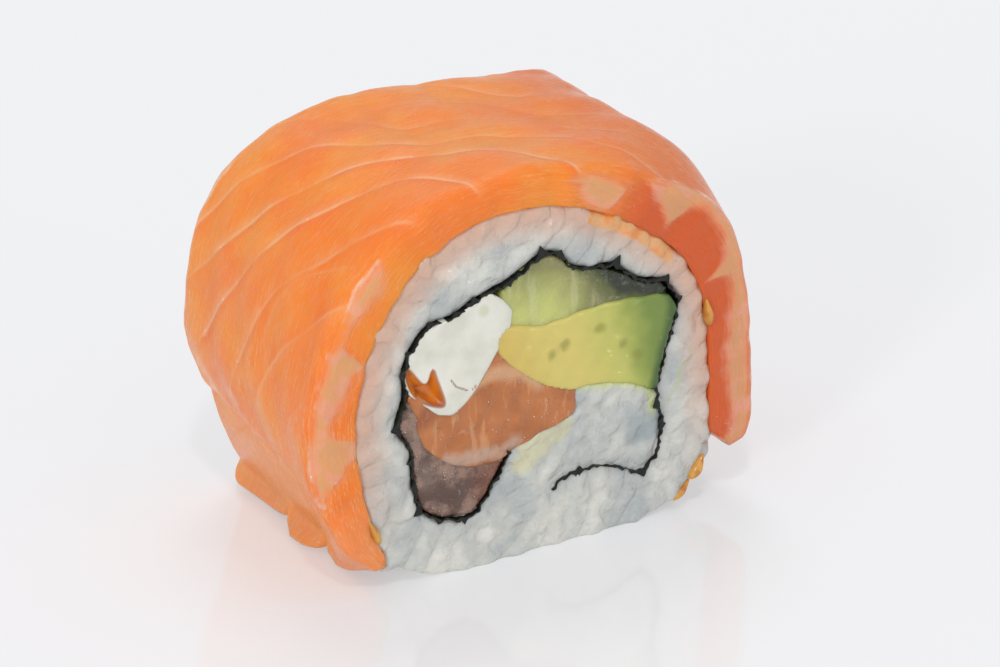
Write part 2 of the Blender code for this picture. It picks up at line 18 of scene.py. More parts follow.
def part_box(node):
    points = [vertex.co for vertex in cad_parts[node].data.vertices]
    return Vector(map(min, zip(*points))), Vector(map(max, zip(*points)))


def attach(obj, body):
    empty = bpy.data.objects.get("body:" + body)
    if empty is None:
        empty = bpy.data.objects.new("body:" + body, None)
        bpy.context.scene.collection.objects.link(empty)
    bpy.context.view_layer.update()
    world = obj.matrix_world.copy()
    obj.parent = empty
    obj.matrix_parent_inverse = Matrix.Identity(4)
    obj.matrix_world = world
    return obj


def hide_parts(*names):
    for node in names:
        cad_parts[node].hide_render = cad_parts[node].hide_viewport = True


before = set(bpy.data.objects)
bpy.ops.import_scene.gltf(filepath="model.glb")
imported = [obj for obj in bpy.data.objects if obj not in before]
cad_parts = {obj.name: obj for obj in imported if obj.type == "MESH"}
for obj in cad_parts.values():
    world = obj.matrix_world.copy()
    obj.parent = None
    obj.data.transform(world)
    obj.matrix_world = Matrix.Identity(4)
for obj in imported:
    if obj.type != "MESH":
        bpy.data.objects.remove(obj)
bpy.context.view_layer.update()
MM = 0.001
LENGTH = 30.4
FRONT, BACK = -LENGTH / 2, LENGTH / 2

# %% [markdown]
# Everything in this roll is a line drawn across it and carried along it. So the first helpers
# work on such lines: a smooth curve through a few points, the same curve with evenly spaced
# points, its normals, and how far any point lies from it.

# %% Smooth lines through a few points
STRETCH_POINTS = 12


def smooth_line(points, step, closed):
    """Points about step apart on a Catmull-Rom curve through the given ones."""
    pts = np.array(points, float)
    count = len(pts)
    dense = []
    shares = np.linspace(0, 1, STRETCH_POINTS, endpoint=False)
    for i in range(count if closed else count - 1):
        if closed:
            p0, p1, p2, p3 = (pts[(i + k) % count] for k in (-1, 0, 1, 2))
        else:
            p0, p1, p2, p3 = (pts[min(max(i + k, 0), count - 1)] for k in (-1, 0, 1, 2))
        for t in shares:
            dense.append(0.5 * (2 * p1 + (p2 - p0) * t + (2 * p0 - 5 * p1 + 4 * p2 - p3) * t ** 2
                                + (3 * p1 - p0 - 3 * p2 + p3) * t ** 3))
    dense.append(pts[0] if closed else pts[-1])
    return resample(np.array(dense), step, closed)


def run_along(line):
    """How far along an open line each of its points is."""
    return np.concatenate([[0], np.cumsum(np.linalg.norm(np.diff(line, axis=0), axis=1))])


def resample(line, step, closed):
    """The same line with its points evenly spaced, about step apart."""
    run = run_along(line)
    at = np.linspace(0, run[-1], max(3, round(run[-1] / step)) + 1)
    even = np.stack([np.interp(at, run, line[:, k]) for k in (0, 1)], 1)
    return even[:-1] if closed else even


def line_normals(line, closed):
    """Unit normals to the left of the direction of travel."""
    along = np.roll(line, -1, 0) - np.roll(line, 1, 0) if closed else np.gradient(line, axis=0)
    along /= np.linalg.norm(along, axis=1)[:, None]
    return np.stack([-along[:, 1], along[:, 0]], 1)


# %% Distances to a line
CHUNK = 8000
STROKE_STEP = 0.4
KEPT_SHARE = 0.96


def nearest_on(points, line, closed):
    """For each point: how far the line is, the number of its nearest stretch, and on which side."""
    starts = line if closed else line[:-1]
    span = (np.roll(line, -1, 0) if closed else line[1:]) - starts
    square = np.maximum((span ** 2).sum(1), 1e-9)
    away, stretch, side = [], [], []
    for i in range(0, len(points), CHUNK):
        to = points[i:i + CHUNK, None] - starts
        share = np.clip((to * span).sum(2) / square, 0, 1)
        gap = np.linalg.norm(to - span * share[:, :, None], axis=2)
        best = gap.argmin(1)
        rows = np.arange(len(best))
        cross = span[best, 0] * to[rows, best, 1] - span[best, 1] * to[rows, best, 0]
        away.append(gap[rows, best])
        stretch.append(best)
        side.append(np.where(cross >= 0, 1.0, -1.0))
    return np.concatenate(away), np.concatenate(stretch), np.concatenate(side)


def inside(points, outline):
    """Which of the points lie inside a closed outline."""
    x0, z0 = outline[:, 0], outline[:, 1]
    x1, z1 = np.roll(outline, -1, 0).T
    rise = np.where(np.abs(z1 - z0) < 1e-12, 1e-12, z1 - z0)
    found = []
    for i in range(0, len(points), CHUNK):
        x, z = points[i:i + CHUNK, 0, None], points[i:i + CHUNK, 1, None]
        crosses = ((z0 > z) != (z1 > z)) & (x < (x1 - x0) * (z - z0) / rise + x0)
        found.append(crosses.sum(1) % 2 == 1)
    return np.concatenate(found)


def depth_inside(points, outline):
    """Millimetres inside a closed outline: negative outside it."""
    away = nearest_on(points, outline, True)[0]
    return np.where(inside(points, outline), away, -away)


def offset_line(line, distance, closed):
    """A line beside another, without the points that a tight bend throws across."""
    beside = line + line_normals(line, closed) * distance
    return beside[nearest_on(beside, line, closed)[0] > KEPT_SHARE * abs(distance)]


def from_stroke(points, stroke):
    """How far each point of a section is from a smooth stroke."""
    return nearest_on(points, smooth_line(stroke, STROKE_STEP, closed=False), False)[0]


def nearest_of(points, places):
    """How far each point of a section is from the nearest of some places."""
    return np.min([np.hypot(points[:, 0] - x, points[:, 1] - z) for x, z in places], axis=0)


def smoothstep(low, high, value):
    """0 below low, 1 above high, and a smooth rise between."""
    t = np.clip((value - low) / (high - low), 0, 1)
    return t * t * (3 - 2 * t)


# %% [markdown]
# The section of the roll is four drawings: the rice's outline, the edge of the rice inside the
# seaweed, the seaweed's own line, and the outline of each filling. The fillings come from the
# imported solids, so only the first three are drawn here.

# %% The lines across the roll
OUTLINE_STEP = 1.5
FLAT_BELOW = 0.1
CLEARANCE = 0.34
CENTRE = (0.0, 19.5)
RICE_EDGE = [
    (-10.4, 0.0), (0.0, 0.0), (11.5, 0.0), (16.9, 1.5), (20.2, 5.2), (21.2, 11.0), (21.1, 17.5),
    (20.2, 24.0), (17.4, 29.6), (12.4, 33.7), (5.0, 37.7), (-2.5, 39.0), (-9.0, 37.9),
    (-14.6, 34.4), (-18.7, 28.6), (-21.0, 21.5), (-20.9, 14.5), (-19.5, 8.0), (-18.3, 4.6),
    (-16.6, 2.5), (-13.8, 0.8),
]
INNER_RICE_EDGE = [
    (14.2, 14.9), (12.3, 16.4), (9.0, 17.4), (5.4, 17.9), (4.3, 16.9), (4.8, 14.9), (2.6, 14.3),
    (-0.6, 13.4), (-3.1, 12.3),
]
NORI_THICKNESS = 0.46
NORI_STEP = 0.22
NORI_LINE = [
    (-3.3, 12.4), (-5.5, 8.9), (-7.2, 6.6), (-9.0, 6.2), (-11.3, 6.6), (-13.9, 8.4), (-14.6, 11.4),
    (-15.0, 15.3), (-16.4, 18.2), (-15.5, 21.4), (-15.4, 25.0), (-12.8, 28.4), (-9.8, 28.9),
    (-6.8, 30.4), (-3.4, 31.4), (0.3, 33.3), (2.2, 33.2), (4.6, 31.1), (8.8, 30.5), (12.2, 28.2),
    (15.2, 27.3), (16.9, 24.6), (15.6, 19.8), (14.6, 15.2), (15.1, 11.4), (14.7, 8.0),
    (12.6, 6.1), (9.3, 7.6), (5.4, 8.1), (3.2, 7.7), (1.8, 6.6),
]
NORI_RIGHT_WALL = (14.6, 15.2)


def flat_based(outline):
    """The outline with its lowest stretch made one straight edge on the surface below."""
    low = outline[:, 1] < FLAT_BELOW
    ends = outline[low, 0].min(), outline[low, 0].max()
    between = low & (outline[:, 0] > ends[0]) & (outline[:, 0] < ends[1])
    flat = outline.copy()
    flat[low, 1] = 0.0
    return flat[~between]


rice_edge = flat_based(smooth_line(RICE_EDGE, OUTLINE_STEP, closed=True))
nori_line = smooth_line(NORI_LINE, NORI_STEP, closed=False)
print("seaweed", round(run_along(nori_line)[-1]), "mm long,", len(nori_line), "points")

# %% [markdown]
# The filling turns by 7 degrees from the front cut to the back, as it does in a roll made by
# hand, and behind the front cut the roll is fuller at its upper right.

# %% Twist and shoulder
TWIST = math.radians(7.0)
TWIST_FULL_RADIUS = 11.0
TWIST_END_RADIUS = 19.4
SHOULDER_ANGLE = 38.0
SHOULDER_SPREAD = 25.0
SHOULDER_START = 9.0
SHOULDER_RICE_RISE = 1.7
SHOULDER_BLANKET_RISE = 2.2
print("turned by", round(math.degrees(TWIST)), "degrees over", LENGTH, "mm")


def twisted(points, turn_sign=1):
    """Points of the roll, turned about its middle by their share of its length."""
    p = np.array(points, float)
    dx, dz = p[:, 0] - CENTRE[0], p[:, 2] - CENTRE[1]
    fade = 1 - smoothstep(TWIST_FULL_RADIUS, TWIST_END_RADIUS, np.hypot(dx, dz))
    turn = TWIST * fade
    share = turn_sign * (p[:, 1] - FRONT) / LENGTH
    p[:, 0] += (dx * np.cos(turn) - dz * np.sin(turn) - dx) * share
    p[:, 2] += (dx * np.sin(turn) + dz * np.cos(turn) - dz) * share
    return p


def around(x, z):
    """Degrees about the roll's middle, from -90 under it, over the right side, to 270."""
    angle = np.degrees(np.arctan2(z - CENTRE[1], x - CENTRE[0]))
    return np.where(angle < -90, angle + 360, angle)


def shoulder(x, z, y):
    """How full the roll's upper right shoulder is, from 0 to 1."""
    swell = smoothstep(0, SHOULDER_START, y - FRONT)
    return np.exp(-((around(x, z) - SHOULDER_ANGLE) / SHOULDER_SPREAD) ** 2) * swell


# %% [markdown]
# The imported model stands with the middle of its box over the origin. The seaweed's lowest corner
# tells how far the roll's own frame was moved for that.

# %% From the roll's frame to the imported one
NORI_CAD_STEP = 1.15
NORI_PROUD_FRONT = 0.05


def own_nori_corner():
    """The lowest x and y of the seaweed in the roll's own frame."""
    line = smooth_line(NORI_LINE, NORI_CAD_STEP, closed=False)
    side = line_normals(line, False) * NORI_THICKNESS / 2
    band = np.concatenate([line + side, line - side])
    ends = [np.insert(band, 1, y, axis=1) for y in (FRONT - NORI_PROUD_FRONT, BACK)]
    return twisted(np.concatenate(ends)).min(0)


low_corner = own_nori_corner()
nori_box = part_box("nori_sheet")[0]
PLACE = Vector((nori_box.x / MM - low_corner[0], nori_box.y / MM - low_corner[1], 0.0))
print("moved by", [round(v, 2) for v in PLACE], "mm")

# %% A mesh from points in millimetres


def new_piece(name, points, faces):
    """An object at the origin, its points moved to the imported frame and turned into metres."""
    mesh = bpy.data.meshes.new(name)
    mesh.from_pydata([tuple((Vector(p) + PLACE) * MM) for p in points], [], faces)
    piece = bpy.data.objects.new(name, mesh)
    bpy.context.scene.collection.objects.link(piece)
    mesh.shade_smooth()
    return piece


def own_points(piece):
    """The points of a mesh in the roll's own millimetres."""
    co = np.empty(len(piece.data.vertices) * 3)
    piece.data.vertices.foreach_get("co", co)
    return co.reshape(-1, 3) / MM - np.array(PLACE)


def section_of(piece):
    """Where each point of a mesh is in the roll's section, with the twist undone."""
    return twisted(own_points(piece), -1)[:, [0, 2]]


def put_points(piece, points):
    """Moves the points of a mesh to these places in the roll's own millimetres."""
    piece.data.vertices.foreach_set("co", ((points + np.array(PLACE)) * MM).ravel())
    piece.data.update()


def point_normals(piece):
    """The normal at each point of a mesh."""
    normals = np.empty(len(piece.data.vertices) * 3)
    piece.data.vertex_normals.foreach_get("vector", normals)
    return normals.reshape(-1, 3)


def paint(piece, **fields):
    """Keeps numbers at the points of a mesh, by name, for its material to read."""
    for name, values in fields.items():
        field = piece.data.attributes.new(name, "FLOAT", "POINT")
        field.data.foreach_set("value", np.asarray(values, np.float32).ravel())


def applied(piece, kind, **settings):
    """Adds a modifier, makes its result the mesh, and removes it."""
    modifier = piece.modifiers.new(kind.lower(), kind)
    for key, value in settings.items():
        setattr(modifier, key, value)
    return baked(piece)


def baked(piece):
    """Makes the mesh what the modifiers show, and removes them."""
    bpy.context.view_layer.update()
    evaluated = piece.evaluated_get(bpy.context.evaluated_depsgraph_get())
    mesh = bpy.data.meshes.new_from_object(evaluated)
    piece.modifiers.clear()
    piece.data = mesh
    mesh.shade_smooth()
    return piece


def report(piece):
    """Prints how many triangles a piece has and how large it is."""
    piece.data.calc_loop_triangles()
    size = [round(s / MM, 1) for s in piece.dimensions]
    print(piece.name, len(piece.data.loop_triangles), "triangles,", size, "mm")


def placed(piece, node, finish):
    """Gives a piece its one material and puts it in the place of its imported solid."""
    piece.data.materials.clear()
    piece.data.materials.append(finish)
    report(piece)
    print("its finish", finish.name, "has", len(finish.node_tree.nodes), "nodes")
    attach(piece, "root")
    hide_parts(node)


# %% [markdown]
# The camera looks down at the front cut from the left with a long lens, which keeps the cut
# nearly as it is. A nearer camera with a wide lens would swell the cut and shrink the far end.

# %% Camera
CAMERA_LEFT = math.radians(30.5)
CAMERA_DOWN = math.radians(24.5)
CAMERA_DISTANCE = 373.9
CAMERA_TARGET = Vector((-4.52, FRONT, 26.0))
LENS = 133.2
SENSOR = 36
NEAREST_SEEN = 0.01

camera = bpy.data.objects.new("camera", bpy.data.cameras.new("camera"))
bpy.context.scene.collection.objects.link(camera)
camera.data.lens = LENS
camera.data.sensor_width = SENSOR
camera.data.clip_start = NEAREST_SEEN
to_camera = Vector((
    -math.sin(CAMERA_LEFT) * math.cos(CAMERA_DOWN),
    -math.cos(CAMERA_LEFT) * math.cos(CAMERA_DOWN),
    math.sin(CAMERA_DOWN),
))
camera.location = (CAMERA_TARGET + PLACE + to_camera * CAMERA_DISTANCE) * MM
camera.rotation_euler = to_camera.to_track_quat("Z", "Y").to_euler()
bpy.context.scene.camera = camera
bpy.context.scene.view_settings.view_transform = "Standard"
print("camera at", [round(v, 3) for v in camera.location])

# %% [markdown]
# Materials are written as sums. A socket of a node is wrapped in a small class, so that
# `1 - mask` or `height * 0.3` adds the Math node that works it out, and one method adds any
# other node: its settings first, and then the values or links of its sockets.

# %% Sockets that can be added and multiplied


class Wire:
    """The output of a node, which can be used in sums."""

    def __init__(self, finish, socket):
        self.finish = finish
        self.socket = socket

    def _maths(self, operation, first, second):
        settings = {"operation": operation}
        return self.finish.add("ShaderNodeMath", settings, {0: first, 1: second})

    def __add__(self, other):
        return self._maths("ADD", self, other)

    def __sub__(self, other):
        return self._maths("SUBTRACT", self, other)

    def __rsub__(self, other):
        return self._maths("SUBTRACT", other, self)

    def __mul__(self, other):
        return self._maths("MULTIPLY", self, other)

    def __abs__(self):
        return self._maths("ABSOLUTE", self, 0.0)

    __radd__ = __add__
    __rmul__ = __mul__

    def most(self, other):
        """The larger of the two."""
        return self._maths("MAXIMUM", self, other)

    def rise(self, low, high):
        """0 below low, 1 above high, smooth between. With low above high it falls instead."""
        settings = {"interpolation_type": "SMOOTHSTEP"}
        turned = low > high
        ends = {1: min(low, high), 2: max(low, high), 3: float(turned), 4: float(not turned)}
        return self.finish.add("ShaderNodeMapRange", settings, {0: self, **ends})


# %% A material and the ways to add to it


def from_screen(red, green, blue):
    """A colour as it looks on a screen, from 0 to 255, as the plain amounts of light."""
    return tuple(((c / 255 + 0.055) / 1.055) ** 2.4 if c > 10 else c / 3294 for c in (red, green, blue))


# The near-white colour of the painted glints, highlights painted on small wet drops.
PAINTED_GLINT = (252, 250, 246)


class Finish:
    """A wet food material: its shader, and one way to add any node."""

    def __init__(self, name):
        self.material = bpy.data.materials.new(name)
        self.material.use_nodes = True
        self.nodes = self.material.node_tree.nodes
        self.links = self.material.node_tree.links
        self.shader = self.nodes["Principled BSDF"]

    def feed(self, socket, value):
        """Links a wire to a socket, or sets the socket to a plain value."""
        if isinstance(value, Wire):
            self.links.new(value.socket, socket)
        elif isinstance(value, tuple) and len(value) == 3 and socket.type == "RGBA":
            socket.default_value = (*value, 1.0)
        else:
            socket.default_value = value

    def add(self, kind, settings=None, inputs=None, output=0):
        """Adds a node with its settings, feeds its sockets, and gives one of its outputs."""
        node = self.nodes.new(kind)
        for key, value in (settings or {}).items():
            setattr(node, key, value)
        for key, value in (inputs or {}).items():
            self.feed(node.inputs[key], value)
        return Wire(self, node.outputs[output])

    def mix(self, first, second, share):
        """One colour over another. A plain triple is a colour as it looks on a screen."""
        first, second = (from_screen(*c) if isinstance(c, tuple) else c for c in (first, second))
        settings = {"data_type": "RGBA"}
        return self.add("ShaderNodeMix", settings, {0: share, 6: first, 7: second}, output=2)

    def place(self, scale, turn=(0.0, 0.0, 0.0)):
        """The place on the piece, in units of 1 / scale metres, turned if need be."""
        spot = self.add("ShaderNodeTexCoord", output=3)
        scales = scale if isinstance(scale, tuple) else (scale,) * 3
        return self.add("ShaderNodeMapping", None, {"Vector": spot, "Scale": scales, "Rotation": turn})

    def surface(self, scale):
        """The place on the piece's own UV map, stretched by scale in u and v."""
        spot = self.add("ShaderNodeUVMap", {"uv_map": "surface"})
        return self.add("ShaderNodeMapping", None, {"Vector": spot, "Scale": (*scale, 1.0)})

    def painted(self, name):
        """A number that was kept at the points of the mesh."""
        return self.add("ShaderNodeAttribute", {"attribute_name": name}, output=2)

    def noise(self, where, detail=3.0, roughness=0.5, distortion=0.0):
        """A cloudy pattern from 0 to 1."""
        inputs = {"Vector": where, "Scale": 1.0, "Detail": detail, "Roughness": roughness,
                  "Distortion": distortion}
        return self.add("ShaderNodeTexNoise", None, inputs)

    def drops(self, where, share=0.35):
        """Small round drops: 1 in the middle of each cell, 0 between them."""
        return self.add("ShaderNodeTexVoronoi", None, {"Vector": where, "Scale": 1.0}).rise(share, 0.0)

    def with_painted_glints(self, colour, drops, most):
        """Painted glints: bright specks of painted highlight in the middle of the drops."""
        return self.mix(colour, PAINTED_GLINT, drops.rise(0.55, 0.85) * most)

    def set(self, **values):
        """Feeds the shader: a name's underscores stand for spaces."""
        for key, value in values.items():
            self.feed(self.shader.inputs[key.replace("_", " ")], value)

    def bump(self, height, millimetres, strength=1.0):
        """Turns a pattern from 0 to 1 into relief of that many millimetres."""
        inputs = {"Height": height, "Distance": millimetres * MM, "Strength": strength}
        self.set(Normal=self.add("ShaderNodeBump", None, inputs))

    def soft(self, weight, millimetres, spread=(1.0, 0.45, 0.2)):
        """Light that wanders in under the surface: how much, how far, and how far each colour."""
        self.set(Subsurface_Weight=weight, Subsurface_Scale=millimetres * MM, Subsurface_Radius=spread)

    def wet(self, weight, roughness):
        """A film of moisture over the piece."""
        self.set(Coat_Weight=weight, Coat_Roughness=roughness, Coat_IOR=1.36)


# %% [markdown]
# The piece lies on a glossy white surface under very soft light. Most of it comes from a bright,
# even surrounding. A large lamp above and behind draws the haze on top of the wet fish, one at the
# front left brightens its flank, and two tiny ones make the sparkles, on the fish and on the cut. One
# strong lamp would be simpler, but its shadows would be hard. The surface glows a little, as white
# acrylic lit from below does, which keeps the shadows pale.

# %% Floor and light
FLOOR_SIZE = 3.0
FLOOR_GLOW = 0.34
AIR_COLOUR = (0.97, 0.985, 1.0, 1.0)
AIR_GLOW = 0.68
LAMP_AIM = Vector((0, 0, 0.02))
LAMPS = (
    ("softbox_above", 0.6, 3.2, (0.25, 0.55, 1.2)),
    ("front_left", 0.22, 3.3, (-0.95, -0.6, 0.5)),
    ("sparkle", 0.05, 0.7, (-0.2, -0.35, 0.62)),
    ("cut_sparkle", 0.06, 0.5, (0.36, -0.76, 0.16)),
)


def make_floor():
    """A wide, glossy white plane that glows a little."""
    half = FLOOR_SIZE / 2
    mesh = bpy.data.meshes.new("floor")
    corners = [(-half, -half, 0), (half, -half, 0), (half, half, 0), (-half, half, 0)]
    mesh.from_pydata(corners, [], [(0, 1, 2, 3)])
    floor = bpy.data.objects.new("floor", mesh)
    bpy.context.scene.collection.objects.link(floor)
    finish = Finish("glossy_white")
    finish.set(Base_Color=(0.52, 0.52, 0.53), Roughness=0.09, Specular_IOR_Level=0.5)
    finish.set(Emission_Color=(1.0, 1.0, 1.02), Emission_Strength=FLOOR_GLOW)
    mesh.materials.append(finish.material)


def make_lamp(name, size, power, place):
    """A round lamp, so many metres across and watts strong, aimed at the roll's middle."""
    data = bpy.data.lights.new(name, "AREA")
    data.shape = "DISK"
    data.size = size
    data.energy = power
    lamp = bpy.data.objects.new(name, data)
    lamp.location = place
    lamp.rotation_euler = (Vector(place) - LAMP_AIM).to_track_quat("Z", "Y").to_euler()
    bpy.context.scene.collection.objects.link(lamp)


make_floor()
world = bpy.data.worlds.new("studio")
world.use_nodes = True
world.node_tree.nodes["Background"].inputs["Color"].default_value = AIR_COLOUR
world.node_tree.nodes["Background"].inputs["Strength"].default_value = AIR_GLOW
bpy.context.scene.world = world
for lamp_settings in LAMPS:
    make_lamp(*lamp_settings)
print("floor", FLOOR_SIZE, "m wide,", len(LAMPS), "lamps")

# %% [markdown]
# The rice is hundreds of cooked grains pressed into one mass, and the knife smears them where it
# cuts. Real grains on a core do that: a closed core with the hole for the filling, grains set
# into its cuts and its open flank, and then one skin pulled over all of it with a voxel remesh
# and smoothed. Displacing a flat face would be quicker, but it can't make the grains overhang
# at the edges of the cut.

# %% The rice's core, with the hole for the filling
CORE_BACK_OFF = 0.22
CORE_RINGS = 9
POCKET_TIGHT = 0.12
POCKET_STEP = 0.8


def past_end(end, before, beside):
    """A place that far past the end of a line, on the way on from the point before it."""
    return end + (end - before) / np.linalg.norm(end - before) * beside


def rice_pocket(beside):
    """The hole through the rice: the seaweed's slot with its tail, and the space of the fillings."""
    line = resample(nori_line, POCKET_STEP, False)
    wall = int(np.linalg.norm(line - np.array(NORI_RIGHT_WALL), axis=1).argmin())
    outer = offset_line(line, beside, False)
    tail = offset_line(line[wall:], -beside, False)
    tip = past_end(line[-1], line[-2], beside)
    root = past_end(line[0], line[1], beside)
    edge = smooth_line(INNER_RICE_EDGE, POCKET_STEP, closed=False)
    return np.concatenate([outer, [tip], tail[::-1], edge[1:-1], [root]])


def rice_edge_at(y):
    """The rice's outline at one place along the roll."""
    outward = line_normals(rice_edge, True)
    x, z = rice_edge.T
    area = (x * np.roll(z, -1) - np.roll(x, -1) * z).sum()
    rise = shoulder(x, z, np.full(len(x), y)) * SHOULDER_RICE_RISE
    rise[z < FLAT_BELOW] = 0.0
    return rice_edge - math.copysign(1, area) * outward * rise[:, None]


def walls(count_rings, size, start):
    """The faces between rings of points that follow one another."""
    faces = []
    for r in range(count_rings - 1):
        for i in range(size):
            j = (i + 1) % size
            a, b = start + r * size, start + (r + 1) * size
            faces.append((a + i, a + j, b + j, b + i))
    return faces


def caps_between(outline, hole):
    """The triangles of a flat ring, as numbers into the outline's points and then the hole's."""
    return tessellate_polygon([[Vector((*p, 0)) for p in line] for line in (outline, hole)])


def core_mesh():
    """Points and faces of the core: outer wall, wall of the hole, and a cap at each end."""
    pocket = rice_pocket(NORI_THICKNESS / 2 - POCKET_TIGHT)
    ys = np.linspace(FRONT + CORE_BACK_OFF, BACK - CORE_BACK_OFF, CORE_RINGS)
    outer = np.concatenate([np.insert(rice_edge_at(y), 1, y, axis=1) for y in ys])
    hole = np.concatenate([np.insert(pocket, 1, y, axis=1) for y in ys])
    points = np.concatenate([outer, twisted(hole)])
    size, hole_size = len(rice_edge), len(pocket)
    faces = walls(len(ys), size, 0) + walls(len(ys), hole_size, len(outer))
    caps = caps_between(rice_edge, pocket)
    for ring in (0, len(ys) - 1):
        index = [*range(ring * size, (ring + 1) * size)]
        index += [len(outer) + ring * hole_size + i for i in range(hole_size)]
        faces += [tuple(index[i] for i in cap) for cap in caps]
    return points, faces


rice = new_piece("rice_grains", *core_mesh())
report(rice)

# %% [markdown]
# The grains are set by Geometry Nodes. A bed, which is a thin sheet over each cut and over the
# open flank, says where rice may lie. Points are scattered on it with a least distance between
# them, and each takes a grain turned at random in the sheet. The bed stops short of the seaweed
# and of the outline, so that few grains lie across either.

# %% The bed that the grains are set in
BED_EDGE_GAP = 0.9
BED_NORI_GAP = 1.0
FLANK_FROM_ANGLE, FLANK_TO_ANGLE = -48, -22
FLANK_END_GAP = 1.2


def bed_mesh():
    """A thin sheet over each cut, between the rice's outline and the seaweed."""
    outline = offset_line(rice_edge, -BED_EDGE_GAP, True)
    if depth_inside(outline[:1], rice_edge)[0] < 0:
        outline = offset_line(rice_edge, BED_EDGE_GAP, True)
    hole = rice_pocket(NORI_THICKNESS / 2 + BED_NORI_GAP)
    caps = caps_between(outline, hole)
    flat = np.concatenate([outline, hole])
    front = np.insert(flat, 1, FRONT, axis=1)
    back = twisted(np.insert(flat, 1, BACK, axis=1))
    points = np.concatenate([front, back])
    faces = []
    for cap in caps:
        a, b, c = (Vector(front[i]) for i in cap)
        facing = (b - a).cross(c - a).y < 0
        faces.append(cap if facing else cap[::-1])
        faces.append(tuple(len(flat) + i for i in (cap[::-1] if facing else cap)))
    return points, faces


def flank_bed(start):
    """A strip of bed low on the right, where the salmon stops short of the table."""
    angle = around(rice_edge[:, 0], rice_edge[:, 1])
    low = rice_edge[(angle > FLANK_FROM_ANGLE) & (angle < FLANK_TO_ANGLE)]
    low = low[np.argsort(low[:, 1])]
    ends = FRONT + FLANK_END_GAP, BACK - FLANK_END_GAP
    points = np.concatenate([np.insert(low, 1, y, axis=1) for y in ends])
    size = len(low)
    faces = [(start + i, start + size + i, start + size + i + 1, start + i + 1) for i in range(size - 1)]
    return points, [face[::-1] for face in faces]


bed_points, bed_faces = bed_mesh()
flank_points, flank_faces = flank_bed(len(bed_points))
bed = new_piece("grain_bed", [*bed_points, *flank_points], bed_faces + flank_faces)
report(bed)

# %% [markdown]
# Cooked rice is white and a little glassy. Each grain has its own tone, the creases between them
# get painted shade, it is pinker near the salmon and lime near the avocado, it has painted shade
# near the seaweed, and small wet drops carry painted glints. All of this could be painted on an
# image. Here every point of the mesh keeps a few numbers instead, such as how far it is from a
# stain or a patch of painted shade, and the material turns them into colour. Each of these has its
# name, its tint, how far it reaches in mm, how strong it is, and the stroke in the section that it
# follows.

# %% The rice's material
STAINS_AND_SHADE = (
    ("cream", (220, 212, 156), 1.2, 0.5, [(-1.2, 12.6), (1.0, 13.4), (3.0, 13.6), (-2.0, 10.6)]),
    ("lime", (204, 214, 112), 0.5, 0.7, [
        (5.4, 17.9), (9.0, 17.5), (12.3, 16.4), (13.9, 15.0), (14.2, 12.6)]),
    ("specks", (180, 200, 84), -0.1, 0.7, [
        (18.6, 19.0), (18.2, 17.6), (17.2, 16.6), (17.4, 15.4), (16.3, 14.2), (16.0, 13.2)]),
    # grey: a patch of painted shade cast by the seaweed.
    ("grey", (146, 158, 162), 1.1, 0.6, [(12.0, 11.8), (13.6, 10.5), (14.4, 11.8), (11.6, 10.4)]),
)


def rice_finish():
    finish = Finish("rice")
    cloud = finish.noise(finish.place(420), detail=3)
    wisp = finish.noise(finish.place(1100), detail=4, roughness=0.6)
    ragged = (finish.noise(finish.place(700), detail=4) - 0.5) * 2.0
    tone = finish.painted("tone") * 0.8 + (cloud - 0.5) * 0.6 + (wisp - 0.5) * 0.6 + 0.14
    colour = finish.mix((228, 226, 217), (200, 202, 197), tone.rise(0.1, 0.7))
    colour = finish.mix(colour, (176, 182, 183), tone.rise(0.6, 0.95) * 0.8)
    # Painted shade: the rice is greyer near the seaweed.
    shade_by_nori = finish.painted("from_nori").rise(2.6, 0.2)
    colour = finish.mix(colour, (172, 176, 176), shade_by_nori * 0.5)
    # Painted shade in the creases between grains.
    crease = finish.painted("crease").rise(0.5, 0.0)
    colour = finish.mix(colour, (180, 174, 166), crease * 0.2)
    high = finish.add("ShaderNodeSeparateXYZ", None, {0: finish.place(1000)}, output=2)
    from_edge = finish.painted("from_edge") + ragged
    stain = from_edge.rise(4.6, 0.6) * high.rise(3, 20)
    colour = finish.mix(colour, (212, 172, 150), stain * 0.9)
    # Stains, and the grey patch of painted shade by the seaweed.
    for name, tint, reach, most, _ in STAINS_AND_SHADE:
        share = (finish.painted(name) + ragged * 0.6).rise(reach + 0.5, reach - 0.5)
        colour = finish.mix(colour, tint, share * most)
    film = (finish.painted("film") + ragged * 0.3).rise(1.1, 0.6)
    gold = finish.mix((226, 168, 106), (232, 140, 46), cloud.rise(0.5, 0.66))
    colour = finish.mix(colour, gold, film * 0.85)
    # Small wet drops: a bump, with painted glints in their middles.
    drops = finish.drops(finish.place(1300)) * ragged.rise(-0.1, 0.5)
    colour = finish.with_painted_glints(colour, drops, 0.8)
    finish.set(Base_Color=colour, Roughness=wisp * 0.2 + 0.1)
    finish.soft(0.5, 1.1, (1.0, 0.8, 0.68))
    finish.wet(0.12, 0.08)
    finish.bump(wisp * 1.7 + drops * 0.9 - crease * 0.6 * (1 - film), 0.14, 1.0)
    return finish.material


rice_material = rice_finish()
print("rice material:", len(rice_material.node_tree.nodes), "nodes")

# %% A node tree that scatters grains
GRAIN_LENGTH = 5.6
GRAIN_WIDTH = 2.9
GRAIN_SPACING = 2.2
GRAIN_PROUD = 0.5
GRAIN_SEED = 11
GRAIN_DENSITY = 5e6
GRAIN_TILT = 0.16
GRAIN_SIZES = (0.72, 1.08)
PROUD_SHARES = (0.3, 1.0)


